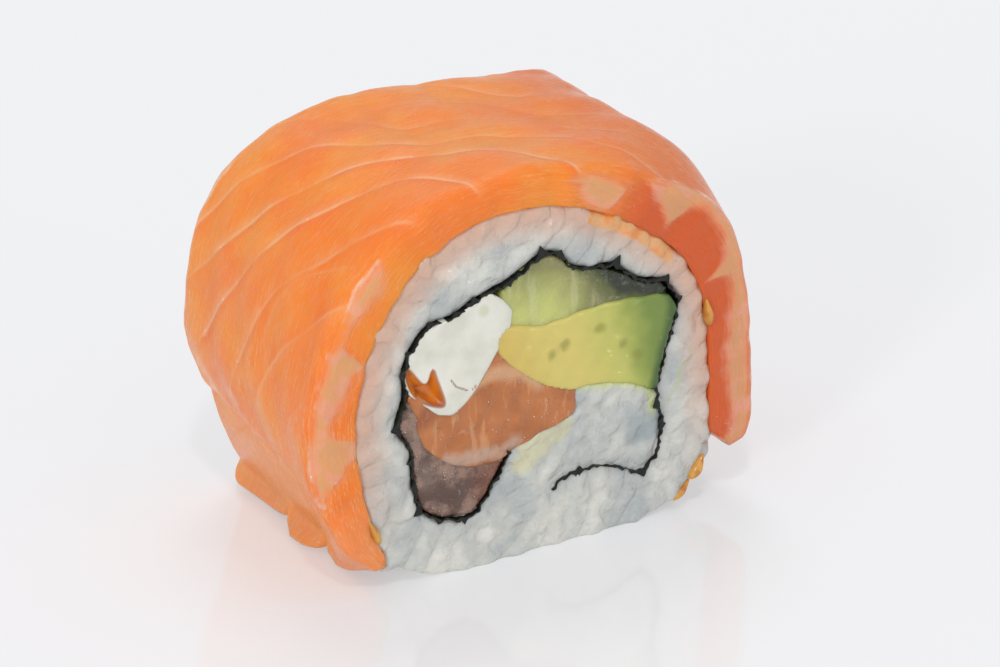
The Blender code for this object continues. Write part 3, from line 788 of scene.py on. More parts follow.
class Tree:
    """A Geometry Nodes tree with named inputs, built a node at a time."""

    def __init__(self, name):
        self.tree = bpy.data.node_groups.new(name, "GeometryNodeTree")
        self.tree.interface.new_socket("Geometry", in_out="INPUT", socket_type="NodeSocketGeometry")
        self.tree.interface.new_socket("Geometry", in_out="OUTPUT", socket_type="NodeSocketGeometry")
        self.start = self.tree.nodes.new("NodeGroupInput")
        self.end = self.tree.nodes.new("NodeGroupOutput")

    def ask(self, name, kind, value):
        """A named input of the tree."""
        socket = self.tree.interface.new_socket(name, in_out="INPUT", socket_type="NodeSocket" + kind)
        if value is not None:
            socket.default_value = value
        return self.start.outputs[name]

    def add(self, kind, settings=None, inputs=None):
        """Adds a node with its settings and feeds its sockets with values or links."""
        node = self.tree.nodes.new(kind)
        for key, value in (settings or {}).items():
            setattr(node, key, value)
        for key, value in (inputs or {}).items():
            if isinstance(value, bpy.types.NodeSocket):
                self.tree.links.new(value, node.inputs[key])
            else:
                node.inputs[key].default_value = value
        return node

    def maths(self, operation, first, second):
        """The output of a Math node."""
        return self.add("ShaderNodeMath", {"operation": operation}, {0: first, 1: second}).outputs[0]

    def finish(self, instances, material):
        """Makes the instances real, gives them their material and ends the tree."""
        real = self.add("GeometryNodeRealizeInstances", None, {"Geometry": instances.outputs[0]})
        done = self.add("GeometryNodeSetMaterial", None, {
            "Geometry": real.outputs[0], "Material": material})
        self.tree.links.new(done.outputs[0], self.end.inputs[0])


def run_tree(tree, piece, values):
    """Runs the tree on a piece with these values for its named inputs, and keeps the result."""
    modifier = piece.modifiers.new("nodes", "NODES")
    modifier.node_group = tree.tree
    for item in tree.tree.interface.items_tree:
        if item.in_out == "INPUT" and item.name in values:
            modifier[item.identifier] = values[item.name]
    return baked(piece)


def grain_tree():
    """Scatters points on a mesh and sinks a grain, turned and sized at random, at each."""
    tree = Tree("set_grains")
    length = tree.ask("Grain length", "Float", GRAIN_LENGTH * MM)
    width = tree.ask("Grain width", "Float", GRAIN_WIDTH * MM)
    spacing = tree.ask("Least distance", "Float", GRAIN_SPACING * MM)
    proud = tree.ask("Proud", "Float", GRAIN_PROUD * MM)
    seed = tree.ask("Seed", "Int", GRAIN_SEED)
    material = tree.ask("Material", "Material", None)
    scatter = tree.add("GeometryNodeDistributePointsOnFaces", {"distribute_method": "POISSON"}, {
        "Mesh": tree.start.outputs["Geometry"], "Distance Min": spacing,
        "Density Max": GRAIN_DENSITY, "Seed": seed})
    grain = tree.add("GeometryNodeMeshIcoSphere", None, {"Radius": 0.5, "Subdivisions": 2})
    shape = tree.add("ShaderNodeCombineXYZ", None, {0: length, 1: width, 2: width})
    shaped = tree.add("GeometryNodeTransform", None, {
        "Geometry": grain.outputs[0], "Scale": shape.outputs[0]})
    spin = tree.add("FunctionNodeRandomValue", {"data_type": "FLOAT_VECTOR"}, {
        "Min": (-GRAIN_TILT, -GRAIN_TILT, 0.0), "Max": (GRAIN_TILT, GRAIN_TILT, math.pi),
        "Seed": seed})
    turn = tree.add("FunctionNodeRotateRotation", {"rotation_space": "LOCAL"}, {
        "Rotation": scatter.outputs["Rotation"], "Rotate By": spin.outputs[0]})
    size = tree.add("FunctionNodeRandomValue", {"data_type": "FLOAT"}, {
        2: GRAIN_SIZES[0], 3: GRAIN_SIZES[1], "Seed": seed})
    short = tree.maths("MULTIPLY", size.outputs[1], size.outputs[1])
    scale = tree.add("ShaderNodeCombineXYZ", None, {0: short, 1: size.outputs[1], 2: size.outputs[1]})
    depth = tree.add("FunctionNodeRandomValue", {"data_type": "FLOAT"}, {
        2: PROUD_SHARES[0], 3: PROUD_SHARES[1], "Seed": seed})
    sink = tree.maths("SUBTRACT", tree.maths("MULTIPLY", proud, depth.outputs[1]),
                      tree.maths("MULTIPLY", tree.maths("MULTIPLY", width, size.outputs[1]), 0.5))
    inward = tree.add("ShaderNodeVectorMath", {"operation": "SCALE"}, {
        0: scatter.outputs["Normal"], "Scale": sink})
    moved = tree.add("GeometryNodeSetPosition", None, {
        "Geometry": scatter.outputs["Points"], "Offset": inward.outputs[0]})
    grains = tree.add("GeometryNodeInstanceOnPoints", None, {
        "Points": moved.outputs[0], "Instance": shaped.outputs[0], "Rotation": turn.outputs[0],
        "Scale": scale.outputs[0]})
    tree.finish(grains, material)
    return tree


run_tree(grain_tree(), bed, {
    "Grain length": GRAIN_LENGTH * MM, "Grain width": GRAIN_WIDTH * MM,
    "Least distance": GRAIN_SPACING * MM, "Proud": GRAIN_PROUD * MM, "Seed": GRAIN_SEED,
    "Material": rice_material})
GRAIN_POINTS = 42
AXIS_SHARE = 0.55


def grain_axes(scattered):
    """Three points along each grain: its middle, and a place towards either end."""
    grains = own_points(scattered).reshape(-1, GRAIN_POINTS, 3)
    middle = grains.mean(1)
    reach = grains - middle[:, None]
    tip = reach[np.arange(len(grains)), (reach ** 2).sum(2).argmax(1)] * AXIS_SHARE
    return np.stack([middle - tip, middle, middle + tip], 1)


grain_lines = grain_axes(bed)
print(len(grain_lines), "grains")

# %% One skin over the core and its grains
RICE_VOXEL = 0.356
NORI_SLOT = 0.13
SMEAR_DEPTH = 0.5
SMEAR = 0.85
OVERHANG = [(0.15, 1.0), (0.6, -0.7)]
OPEN_BELOW = 9.0
HELD_BACK = [(-0.35, -0.9), (0.0, -0.1), (0.2, 0.0), (1.0, 0.16), (1.8, 0.6)]
FILM = [(6.6, 36.3), (9.4, 35.0), (12.0, 33.4), (14.2, 31.7), (15.7, 30.2)]
FILM_RAISE = 0.15
FILM_EDGE = (1.2, 0.7)
HELD_DEPTH = 1.6


def joined(target, other):
    """Adds the other mesh to the target and removes the other object."""
    bm = bmesh.new()
    bm.from_mesh(target.data)
    bm.from_mesh(other.data)
    bm.to_mesh(target.data)
    bm.free()
    bpy.data.objects.remove(other)


def outward_faces(piece):
    """Turns the faces of a closed mesh so that all of them point out."""
    bm = bmesh.new()
    bm.from_mesh(piece.data)
    bmesh.ops.recalc_face_normals(bm, faces=bm.faces)
    bm.to_mesh(piece.data)
    bm.free()


def cut_by_knife(points):
    """Presses the relief of both cuts flatter, and keeps the rice back from what it surrounds."""
    outline = rice_pocket(NORI_SLOT)
    beyond = -depth_inside(twisted(points, -1)[:, [0, 2]], outline)
    outside = -depth_inside(points[:, [0, 2]], rice_edge)
    covered = np.where(points[:, 2] > OPEN_BELOW, np.interp(outside, *zip(*OVERHANG)), 1.0)
    limit = np.minimum(np.interp(beyond, *zip(*HELD_BACK)), covered)
    for sign in (-1, 1):
        proud = sign * points[:, 1] - LENGTH / 2
        near = proud > -SMEAR_DEPTH
        pressed = np.where(near, (proud + SMEAR_DEPTH) * SMEAR - SMEAR_DEPTH, proud)
        held = np.where(proud > -HELD_DEPTH, np.minimum(pressed, limit), proud)
        points[:, 1] += sign * (held - proud)
    film = smoothstep(*FILM_EDGE, from_stroke(points[:, [0, 2]], FILM))
    points[:, 1] -= FILM_RAISE * film * smoothstep(FRONT + 1, FRONT, points[:, 1])
    points[:, 2] = np.maximum(points[:, 2], 0.0)
    return points


outward_faces(rice)
joined(rice, bed)
applied(rice, "REMESH", mode="VOXEL", voxel_size=RICE_VOXEL * MM, adaptivity=0.0)
applied(rice, "SMOOTH", factor=0.6, iterations=5)
put_points(rice, cut_by_knife(own_points(rice)))
applied(rice, "SMOOTH", factor=0.5, iterations=1)
report(rice)

# %% [markdown]
# The skin has lost its grains' edges, so each of its points finds them again: it keeps the tones
# of the grains near it, blended a little, and how much further away the second nearest grain is
# than the nearest, which is 0 in the crease between two. It also keeps how far it is from the
# salmon, the seaweed, each stain and each patch of painted shade.

# %% What the rice's material reads
TONE_SOFTNESS = 0.8
TONE_SEED = 3


def grain_fields(points, lines, seed):
    """At each point: the tone of its grain from 0 to 1, and how many mm the second nearest
    grain is further away than the nearest."""
    tones = np.random.default_rng(seed).random(len(lines))
    tone, crease = [], []
    for i in range(0, len(points), CHUNK):
        here = points[i:i + CHUNK, None]
        away = np.min([np.linalg.norm(here - lines[:, k], axis=2) for k in range(3)], axis=0)
        first, second = np.partition(away, 1, axis=1)[:, :2].T
        weight = np.exp((first[:, None] ** 2 - away ** 2) / (2 * TONE_SOFTNESS ** 2))
        tone.append((weight * tones).sum(1) / weight.sum(1))
        crease.append(second - first)
    return np.concatenate(tone), np.concatenate(crease)


rice_tone, rice_crease = grain_fields(own_points(rice), grain_lines, TONE_SEED)
across_cut = own_points(rice)[:, [0, 2]]
untwisted = section_of(rice)
paint(rice, tone=rice_tone, crease=rice_crease, film=from_stroke(across_cut, FILM),
      from_edge=nearest_on(across_cut, rice_edge, True)[0],
      from_nori=nearest_on(untwisted, nori_line, False)[0])
paint(rice, **{name: from_stroke(untwisted, stroke) for name, _, _, _, stroke in STAINS_AND_SHADE})
placed(rice, "rice", rice_material)

# %% [markdown]
# Toasted sesame seeds stick to the outside of the rice. Each is a small flat drop, pointed at
# one end. They are few and their places are known, so the points are given and a small tree
# puts the same seed on each. A row gives a seed's place, how far it is turned in the plane of the
# cut, and how far it tips out of it, in degrees.

# %% Sesame seeds
SEED_SIZE = (3.1, 1.8, 1.0)
SEEDS = [
    (-19.3, FRONT + 0.1, 7.2, 112, 0), (20.7, FRONT + 0.05, 22.6, 96, 0),
    (19.9, FRONT + 0.3, 4.7, 55, 25), (18.0, FRONT + 0.6, 2.3, 36, 15),
    (20.6, FRONT + 5.0, 4.9, 66, 0), (17.8, FRONT + 14.0, 1.7, 38, 0),
    (20.9, FRONT + 21.0, 6.0, 72, 0),
]


def seed_mesh():
    """One seed: an egg drawn to a point at one end. The tree's size flattens it."""
    bm = bmesh.new()
    bmesh.ops.create_uvsphere(bm, u_segments=16, v_segments=12, radius=0.5)
    for vertex in bm.verts:
        x, y, z = vertex.co
        point = smoothstep(-0.1, 0.5, z)
        vertex.co = Vector((z, x * (1 - 0.55 * point), y * (1 - 0.45 * point)))
    mesh = bpy.data.meshes.new("one_seed")
    bm.to_mesh(mesh)
    bm.free()
    mesh.shade_smooth()
    one = bpy.data.objects.new("one_seed", mesh)
    bpy.context.scene.collection.objects.link(one)
    return one


def seed_tree():
    """Puts one seed on each point of a mesh, turned as the point's own numbers say."""
    tree = Tree("lay_seeds")
    size = tree.ask("Size", "Vector", tuple(s * MM for s in SEED_SIZE))
    one = tree.ask("Seed", "Object", None)
    material = tree.ask("Material", "Material", None)
    picked = tree.add("GeometryNodeObjectInfo", None, {"Object": one})
    lay = tree.add("GeometryNodeInputNamedAttribute", {"data_type": "FLOAT_VECTOR"}, {"Name": "lay"})
    turn = tree.add("FunctionNodeEulerToRotation", None, {0: lay.outputs[0]})
    dots = tree.add("GeometryNodeMeshToPoints", None, {"Mesh": tree.start.outputs["Geometry"]})
    seeds = tree.add("GeometryNodeInstanceOnPoints", None, {
        "Points": dots.outputs[0], "Instance": picked.outputs["Geometry"],
        "Rotation": turn.outputs[0], "Scale": size})
    tree.finish(seeds, material)
    return tree


def sesame_finish():
    finish = Finish("sesame")
    cloud = finish.noise(finish.place(700), detail=3)
    colour = finish.mix((214, 158, 64), (182, 106, 32), cloud.rise(0.35, 0.7))
    finish.set(Base_Color=colour, Roughness=0.38)
    finish.soft(0.25, 0.6)
    finish.wet(0.5, 0.1)
    finish.bump(finish.noise(finish.place(2600)), 0.05, 0.6)
    return finish.material


def make_sesame(finish):
    """All the seeds as one piece."""
    one = seed_mesh()
    dots = new_piece("sesame_seeds", [s[:3] for s in SEEDS], [])
    lay = dots.data.attributes.new("lay", "FLOAT_VECTOR", "POINT")
    turns = [(math.radians(tip), math.radians(-turn), 0.0) for *_, turn, tip in SEEDS]
    lay.data.foreach_set("vector", np.array(turns, np.float32).ravel())
    run_tree(seed_tree(), dots, {
        "Size": tuple(s * MM for s in SEED_SIZE), "Seed": one, "Material": finish})
    bpy.data.objects.remove(one)
    return dots


sesame_material = sesame_finish()
placed(make_sesame(sesame_material), "rice", sesame_material)

# %% [markdown]
# The seaweed is a thin sheet that has gone soft. At the cut its edge is torn: it wavers, it is
# thicker in some places than in others, and small points of it stick out over the rice. A strip
# with a Solidify modifier would be even all over. So it is lofted here from its line, with the
# waver and the points worked into the loft.

# %% The seaweed
NORI_ROWS = (0.0, 0.12, 0.3, 0.6, 1.1, 2.4, 6.0, 15.2, 24.4, 28.0, 29.3, 29.8, 30.1, 30.28, 30.4)
NORI_POINTS = [
    (0.3, 33.6, 1.3), (2.4, 33.4, 0.8), (9.4, 30.6, 1.2), (15.2, 27.4, 0.8), (16.8, 25.2, 0.5),
    (-7.5, 30.3, 0.7), (-9.6, 28.8, 0.6), (-12.6, 28.7, 0.7), (-14.9, 26.0, 0.6), (-15.6, 23.9, 0.6),
    (-16.5, 18.1, 0.9), (-14.3, 8.2, 1.0), (-8.6, 6.1, 0.7), (-11.8, 6.7, 0.5), (12.8, 6.0, 0.8),
    (15.2, 11.0, 0.7), (4.8, 8.0, 0.9), (-15.1, 14.0, 0.6), (-14.7, 11.0, 0.5),
]
NORI_INNER_POINTS = [(14.4, 15.8, 1.5), (14.9, 13.4, 0.7), (5.2, 8.3, 0.5), (-3.4, 31.2, 0.6)]
NORI_HALF = 0.08
TORN_DEPTH = 0.7
TORN_WIDTH = 0.34
TINY_POINTS = 120
TINY_REACH = 0.5
TINY_WIDTH = 0.2
TINY_SHARES = (0.8, 0.45)
DRIFT = 0.13
EDGE_DRIFT = 0.2
EDGE_SWELL = 0.07
EDGE_RAGGED = 0.16
EDGE_BACK_OFF = 0.08
TAIL_THINNER = 0.45
TAIL_FROM = (12, 9)
SHARP_ANGLE = math.radians(50)


def waver(run, seed, height, lengths):
    """A wandering value along a line: waves of several lengths with seeded starts."""
    draw = np.random.default_rng(seed)
    total = sum(np.sin(2 * np.pi * (run / size + draw.random())) for size in lengths)
    return height * total / len(lengths)


def torn_points(run, places):
    """How far the given points of seaweed reach out, at each place along its line."""
    peaks = np.zeros(len(run))
    for x, z, reach in places:
        at = run[np.linalg.norm(nori_line - np.array((x, z)), axis=1).argmin()]
        peaks = np.maximum(peaks, reach * np.exp(-np.abs((run - at) / TORN_WIDTH) ** 1.4))
    return peaks


def tiny_points(run, seed):
    """Many small torn points at seeded places along the seaweed's line."""
    draw = np.random.default_rng(seed)
    places = draw.random((TINY_POINTS, 2)) * (run[-1], 1)
    away = (run[:, None] - places[:, 0]) / TINY_WIDTH
    return (TINY_REACH * places[:, 1] ** 2 * np.exp(-away ** 2)).max(1)


def nori_points():
    """Rings of points round the sheet's section, one ring for each of its rows."""
    run = run_along(nori_line)
    normal = line_normals(nori_line, False)
    tiny_out, tiny_in = (tiny_points(run, seed) * part for seed, part in zip((51, 52), TINY_SHARES))
    outer_peaks = np.maximum(torn_points(run, NORI_POINTS), tiny_out)
    inner_peaks = np.maximum(torn_points(run, NORI_INNER_POINTS), tiny_in)
    tail_thin = 1 - TAIL_THINNER * smoothstep(run[-1] - TAIL_FROM[0], run[-1] - TAIL_FROM[1], run)
    points = []
    for depth in NORI_ROWS:
        near_cut = min(depth, LENGTH - depth)
        torn = math.exp(-near_cut / TORN_DEPTH)
        front = depth < LENGTH / 2
        drift = waver(run, 21, DRIFT, (2.1, 3.4, 5.3))
        drift = drift + waver(run, 22 + front, EDGE_DRIFT * torn, (0.9, 1.5, 2.3))
        half = (NORI_HALF + waver(run, 30, EDGE_SWELL * torn, (1.1, 1.9, 3.1))) * tail_thin
        ragged = waver(run, 40 + front, EDGE_RAGGED * torn, (0.9, 1.6, 2.7)) - EDGE_BACK_OFF * torn
        y = FRONT + depth + ragged * (1 if front else -1)
        mid = nori_line + normal * drift[:, None]
        out = mid + normal * (half + outer_peaks * torn)[:, None]
        inner = mid - normal * (half + inner_peaks * torn)[:, None]
        ring = np.concatenate([out, inner[::-1]])
        points.append(np.insert(ring, 1, np.concatenate([y, y[::-1]]), axis=1))
    return twisted(np.concatenate(points))


def make_nori():
    """The sheet with its walls and both torn ends closed."""
    count = len(nori_line)
    size = 2 * count
    faces = walls(len(NORI_ROWS), size, 0)
    for ring in (0, len(NORI_ROWS) - 1):
        start = ring * size
        for i in range(count - 1):
            faces.append((start + i, start + i + 1, start + size - 2 - i, start + size - 1 - i))
    sheet = new_piece("nori", nori_points(), faces)
    outward_faces(sheet)
    sheet.data.set_sharp_from_angle(angle=SHARP_ANGLE)
    return sheet


def nori_finish():
    finish = Finish("seaweed")
    cloud = finish.noise(finish.place(900), detail=4)
    colour = finish.mix((13, 17, 12), (50, 50, 28), cloud.rise(0.52, 0.8))
    finish.set(Base_Color=colour, Roughness=cloud * 0.3 + 0.35, Specular_IOR_Level=0.3)
    finish.wet(0.2, 0.12)
    finish.bump(finish.noise(finish.place(2200), detail=4), 0.12, 0.8)
    return finish.material


placed(make_nori(), "nori_sheet", nori_finish())

# %% [markdown]
# The five fillings are cut strips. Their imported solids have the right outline, so each is copied,
# its loose triangles are merged, and a fine skin is made over it. It is then let out by the small
# gap that the solids keep between them, because the real strips press on each other.

# %% A fine skin over a packed strip
STRIP_VOXEL = 0.3
STRIP_LET_OUT = 0.58
CUT_CORNER = 0.8
CUT_POWER = 2.3
KNIFE_WAVES = ((1.9, 0.8, 0), (-2.2, 1.3, 1), (0.9, 3.1, 0))
MERGE_WITHIN = 0.00001


def strip_skin(node, name, proud=0.0, rough=0.05, voxel=STRIP_VOXEL):
    """The skin, with both cuts made square again and standing that much proud of the rice."""
    piece = bpy.data.objects.new(name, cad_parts[node].data.copy())
    bpy.context.scene.collection.objects.link(piece)
    bm = bmesh.new()
    bm.from_mesh(piece.data)
    bmesh.ops.remove_doubles(bm, verts=bm.verts, dist=MERGE_WITHIN)
    bm.to_mesh(piece.data)
    bm.free()
    applied(piece, "REMESH", mode="VOXEL", voxel_size=voxel * MM, adaptivity=0.0)
    applied(piece, "SMOOTH", factor=0.5, iterations=2)
    points = own_points(piece) + point_normals(piece) * STRIP_LET_OUT
    x, z = points[:, 0], points[:, 2]
    relief = rough * sum(np.sin(a * x + b * z + start) for a, b, start in KNIFE_WAVES)
    for sign in (-1, 1):
        deep = np.clip((LENGTH / 2 - sign * points[:, 1]) / CUT_CORNER, 0, 1)
        cut = LENGTH / 2 + (proud + relief) * (1 - deep) - CUT_CORNER * deep ** CUT_POWER
        points[:, 1] = np.where(deep < 1, sign * cut, points[:, 1])
    put_points(piece, points)
    return piece


# %% [markdown]
# Cucumber: pale, watery flesh, greener towards its rind, which shows dark at the right-hand end.
# The rind could be a piece of its own, but it has no edge that can be felt, so it is painted: each
# point keeps how deep it lies in the rind's outline, and noise frays the border.

# %% Cucumber
RIND = [(6.0, 31.5), (7.4, 29.6), (9.6, 27.2), (12.7, 26.2), (16.7, 25.0), (17.0, 29.0), (10.8, 32.0)]
FLESH_END = [(0.0, 24.0), (-3.0, 27.0), (1.0, 27.0)]


def make_cucumber():
    piece = strip_skin("cucumber_strip", "cucumber", proud=-0.1)
    section = section_of(piece)
    paint(piece, rind=depth_inside(section, smooth_line(RIND, STROKE_STEP, closed=True)),
          bright=nearest_of(section, FLESH_END))
    return piece


def cucumber_finish():
    finish = Finish("cucumber")
    cloud = finish.noise(finish.place(330), detail=4)
    fine = finish.noise(finish.place(1400), detail=3)
    grain = finish.noise(finish.place((900, 300, 160), (0.0, math.radians(-20), 0.0)), detail=3)
    colour = finish.mix((112, 110, 66), (138, 134, 88), cloud.rise(0.35, 0.65))
    bright = (finish.painted("bright") + (cloud - 0.5) * 4).rise(6.5, 0.5)
    colour = finish.mix(colour, (196, 200, 116), bright)
    colour = finish.mix(colour, (206, 208, 160), grain.rise(0.52, 0.7) * 0.35)
    rind = finish.painted("rind") + (cloud - 0.5) * 2.4 + (grain - 0.5) * 1.2
    colour = finish.mix(colour, (92, 100, 48), rind.rise(-1.8, 0.0))
    colour = finish.mix(colour, (24, 34, 12), rind.rise(-0.5, 0.8) * 0.95)
    finish.set(Base_Color=colour, Roughness=fine * 0.2 + 0.16)
    finish.soft(0.4, 1.6, (0.9, 1.0, 0.5))
    finish.wet(0.25, 0.06)
    finish.bump(fine + cloud + grain, 0.12, 0.9)
    return finish.material


placed(make_cucumber(), "cucumber_strip", cucumber_finish())

# %% [markdown]
# Avocado: buttery yellow that turns to green towards the skin side, here from left to right,
# with a few faint olive spots. One gradient would look like plastic, so three greens come in one
# after another, at borders that a soft noise bends, and the seaweed's side is the darkest.

# %% Avocado
AVOCADO_SPOTS = [(7.4, 23.9), (3.2, 23.0), (1.5, 22.2), (10.2, 21.5), (11.9, 20.0)]
AVOCADO_MIDDLE = 21
GREEN_SLANT = 0.3


def make_avocado():
    piece = strip_skin("avocado_slice", "avocado", proud=0.12, rough=0.04)
    section = section_of(piece)
    paint(piece, greener=section[:, 0] + (section[:, 1] - AVOCADO_MIDDLE) * GREEN_SLANT,
          spot=nearest_of(section, AVOCADO_SPOTS),
          from_nori=nearest_on(section, nori_line, False)[0])
    return piece


def avocado_finish():
    finish = Finish("avocado")
    cloud = finish.noise(finish.place(240), detail=2)
    fine = finish.noise(finish.place(900), detail=3)
    greener = finish.painted("greener") + (cloud - 0.5) * 3.5
    colour = finish.mix((212, 184, 92), (214, 198, 108), greener.rise(-4, 3))
    colour = finish.mix(colour, (196, 194, 100), greener.rise(4, 9))
    colour = finish.mix(colour, (154, 166, 72), greener.rise(9, 12.5))
    colour = finish.mix(colour, (118, 140, 56), greener.rise(11.5, 14.5))
    skin_side = (finish.painted("from_nori") + (cloud - 0.5) * 1.0).rise(1.7, 0.5) * greener.rise(7, 12)
    colour = finish.mix(colour, (60, 92, 26), skin_side)
    spot = (finish.painted("spot") + (fine - 0.5) * 0.9).rise(0.95, 0.15)
    colour = finish.mix(colour, (140, 136, 44), spot * 0.6)
    finish.set(Base_Color=colour, Roughness=fine * 0.12 + 0.26)
    finish.soft(0.45, 1.3, (1.0, 0.85, 0.35))
    finish.wet(0.4, 0.1)
    finish.bump(fine + cloud, 0.07, 0.6)
    return finish.material


placed(make_avocado(), "avocado_slice", avocado_finish())

# %% [markdown]
# Crab stick: smooth off-white fish paste with a coloured skin. A fold at its lower left opens in
# a notch, and the orange skin shows inside it, with painted shade along the fold's edge. A notch
# could be cut out with a Boolean modifier, but the fold is shallow and has soft edges, so the
# surface there is pressed in and painted.

# %% Crab stick
SKIN_FOLD = [
    (-15.2, 24.6), (-13.3, 22.4), (-12.4, 23.9), (-11.8, 22.6), (-11.0, 19.4), (-13.9, 20.6),
    (-15.4, 23.0),
]
FOLD_DEPTH = 1.3
FOLD_LENGTH = (3.0, 1.0)
FOLD_LIP = (-0.1, 0.8)
HAIRLINE = [(-10.3, 22.2), (-9.7, 21.3), (-8.4, 20.6)]
SMUDGE = [(-6.4, 29.0)]


def make_surimi():
    piece = strip_skin("surimi_strip", "surimi", proud=0.08, rough=0.02, voxel=0.2)
    points = own_points(piece)
    section = section_of(piece)
    fold = depth_inside(section, smooth_line(SKIN_FOLD, STROKE_STEP, closed=True))
    for sign in (-1, 1):
        at_cut = smoothstep(*FOLD_LENGTH, LENGTH / 2 - sign * points[:, 1])
        points[:, 1] -= sign * FOLD_DEPTH * smoothstep(*FOLD_LIP, fold) * at_cut
    put_points(piece, points)
    paint(piece, fold=fold, smudge=nearest_of(section, SMUDGE),
          hairline=nearest_on(section, np.array(HAIRLINE), False)[0])
    return piece


def surimi_finish():
    finish = Finish("surimi")
    fold = finish.painted("fold")
    cloud = finish.noise(finish.place(300), detail=3)
    fine = finish.noise(finish.place(1600), detail=3)
    colour = finish.mix((230, 228, 217), (216, 214, 200), cloud.rise(0.35, 0.7))
    skin = finish.mix((226, 134, 34), (178, 78, 14), cloud.rise(0.4, 0.62))
    colour = finish.mix(colour, skin, fold.rise(-0.12, 0.2))
    # Painted shade along the edge of the fold.
    fold_edge_shade = abs(fold - 0.05).rise(0.22, 0.02)
    colour = finish.mix(colour, (150, 70, 16), fold_edge_shade * 0.6)
    smudge = (finish.painted("smudge") + (cloud - 0.5) * 1.2).rise(0.8, 0.2)
    colour = finish.mix(colour, (184, 186, 140), smudge * 0.4)
    hairline = finish.painted("hairline").rise(0.18, 0.04)
    colour = finish.mix(colour, (120, 62, 30), hairline * 0.8)
    finish.set(Base_Color=colour, Roughness=fine * 0.2 + 0.25)
    finish.soft(0.4, 1.2, (1.0, 0.85, 0.7))
    finish.wet(0.3, 0.12)
    finish.bump(fine + cloud, 0.06, 0.6)
    return finish.material


placed(make_surimi(), "surimi_strip", surimi_finish())

# %% [markdown]
# The strip of salmon inside is duller than the sheet outside: brown-orange, with faint pale
# stripes across it and a silvery pink band along its lower edge. The stripes are a noise that is
# stretched and turned, because drawn lines would look too even. The band and the pale curve above
# it are strokes, since their places are known.

# %% The salmon inside
SILVER_EDGE = [(-10.6, 13.2), (-8.9, 12.9), (-5.2, 12.7), (-2.4, 13.6)]
PALE_CURVE = [(-8.6, 20.4), (-5.4, 21.6), (-2.6, 21.2), (0.2, 19.6)]
SHADED = [(-13.8, 18.4), (-12.0, 19.4), (-10.4, 19.0)]


def make_inner_salmon():
    piece = strip_skin("salmon_strip", "inner_salmon", proud=0.0, rough=0.07)
    section = section_of(piece)
    strokes = {"silver": SILVER_EDGE, "curve": PALE_CURVE, "shaded": SHADED}
    paint(piece, **{name: from_stroke(section, stroke) for name, stroke in strokes.items()})
    return piece


def inner_salmon_finish():
    finish = Finish("inner_salmon")
    cloud = finish.noise(finish.place(260), detail=3)
    fine = finish.noise(finish.place(1500), detail=3)
    stripes = finish.noise(finish.place((1000, 100, 240), (0.0, math.radians(28), 0.0)), detail=3)
    colour = finish.mix((192, 118, 64), (176, 104, 52), cloud.rise(0.35, 0.7))
    colour = finish.mix(colour, (212, 158, 112), stripes.rise(0.54, 0.7) * 0.6)
    curve = (finish.painted("curve") + (cloud - 0.5) * 1.6).rise(1.3, 0.1)
    colour = finish.mix(colour, (216, 172, 132), curve * 0.75)
    silver = (finish.painted("silver") + (cloud - 0.5) * 1.5 + (fine - 0.5)).rise(1.3, 0.2)
    colour = finish.mix(colour, (192, 164, 146), silver * 0.75)
    shaded = (finish.painted("shaded") + (cloud - 0.5)).rise(1.6, 0.2)
    colour = finish.mix(colour, (146, 78, 42), shaded * 0.7)
    # Small wet drops: a bump, with painted glints in their middles.
    drops = finish.drops(finish.place(1500)) * fine.rise(0.48, 0.6)
    colour = finish.with_painted_glints(colour, drops, 0.6)
    finish.set(Base_Color=colour, Roughness=stripes * 0.25 + 0.12)
    finish.soft(0.4, 1.5, (1.0, 0.45, 0.22))
    finish.wet(0.2, 0.06)
    finish.bump(stripes + fine * 0.8 + drops * 0.8, 0.14, 1.0)
    return finish.material


placed(make_inner_salmon(), "salmon_strip", inner_salmon_finish())

# %% [markdown]
# The dark fish is nearly raw tuna gone brown: purple-brown and grey, with a wet speckle. Nothing
# in it has a clear outline, so two noises, one coarse and one fine, make its patches, and small
# round drops make the speckle: a bump, with painted glints in their middles. Real drops as meshes
# would cost far more and look the same.

# %% The dark fish
PALE_PATCHES = [(-13.1, 12.1), (-14.6, 16.0)]


def make_dark_fish():
    piece = strip_skin("dark_fish_strip", "dark_fish", proud=-0.12, rough=0.08)
    section = section_of(piece)
    paint(piece, pale=nearest_of(section, PALE_PATCHES), across=section[:, 0])
    return piece


def dark_fish_finish():
    finish = Finish("dark_fish")
    cloud = finish.noise(finish.place(380), detail=4, roughness=0.6)
    fine = finish.noise(finish.place(1700), detail=4, roughness=0.65)
    colour = finish.mix((92, 66, 56), (150, 120, 104), cloud.rise(0.42, 0.62))
    colour = finish.mix(colour, (124, 70, 46), finish.painted("across").rise(-9.5, -5.0) * 0.75)
    pale = (finish.painted("pale") + (cloud - 0.5) * 3).rise(2.2, 0.2)
    colour = finish.mix(colour, (150, 130, 118), pale * 0.4)
    colour = finish.mix(colour, (176, 160, 150), fine.rise(0.58, 0.7) * 0.3)
    # Small wet drops: a bump, with painted glints in their middles.
    drops = finish.drops(finish.place(1700)) * cloud.rise(0.4, 0.55)
    colour = finish.with_painted_glints(colour, drops, 0.65)
    finish.set(Base_Color=colour, Roughness=fine * 0.3 + 0.1)
    finish.soft(0.3, 1.0, (1.0, 0.5, 0.4))
    finish.wet(0.2, 0.05)
    finish.bump(fine + cloud + drops, 0.16, 1.0)
    return finish.material


placed(make_dark_fish(), "dark_fish_strip", dark_fish_finish())

# %% [markdown]
# The salmon outside is one thick sheet of raw fish laid over the rice. It is lofted: at many
# stations round the roll a closed loop runs along the underside, over the rounded front rim,
# along the top and over the back rim. That gives the rim its true thickness, which a sheet with
# a Solidify modifier would not, since the fish is thicker in some places than in others.

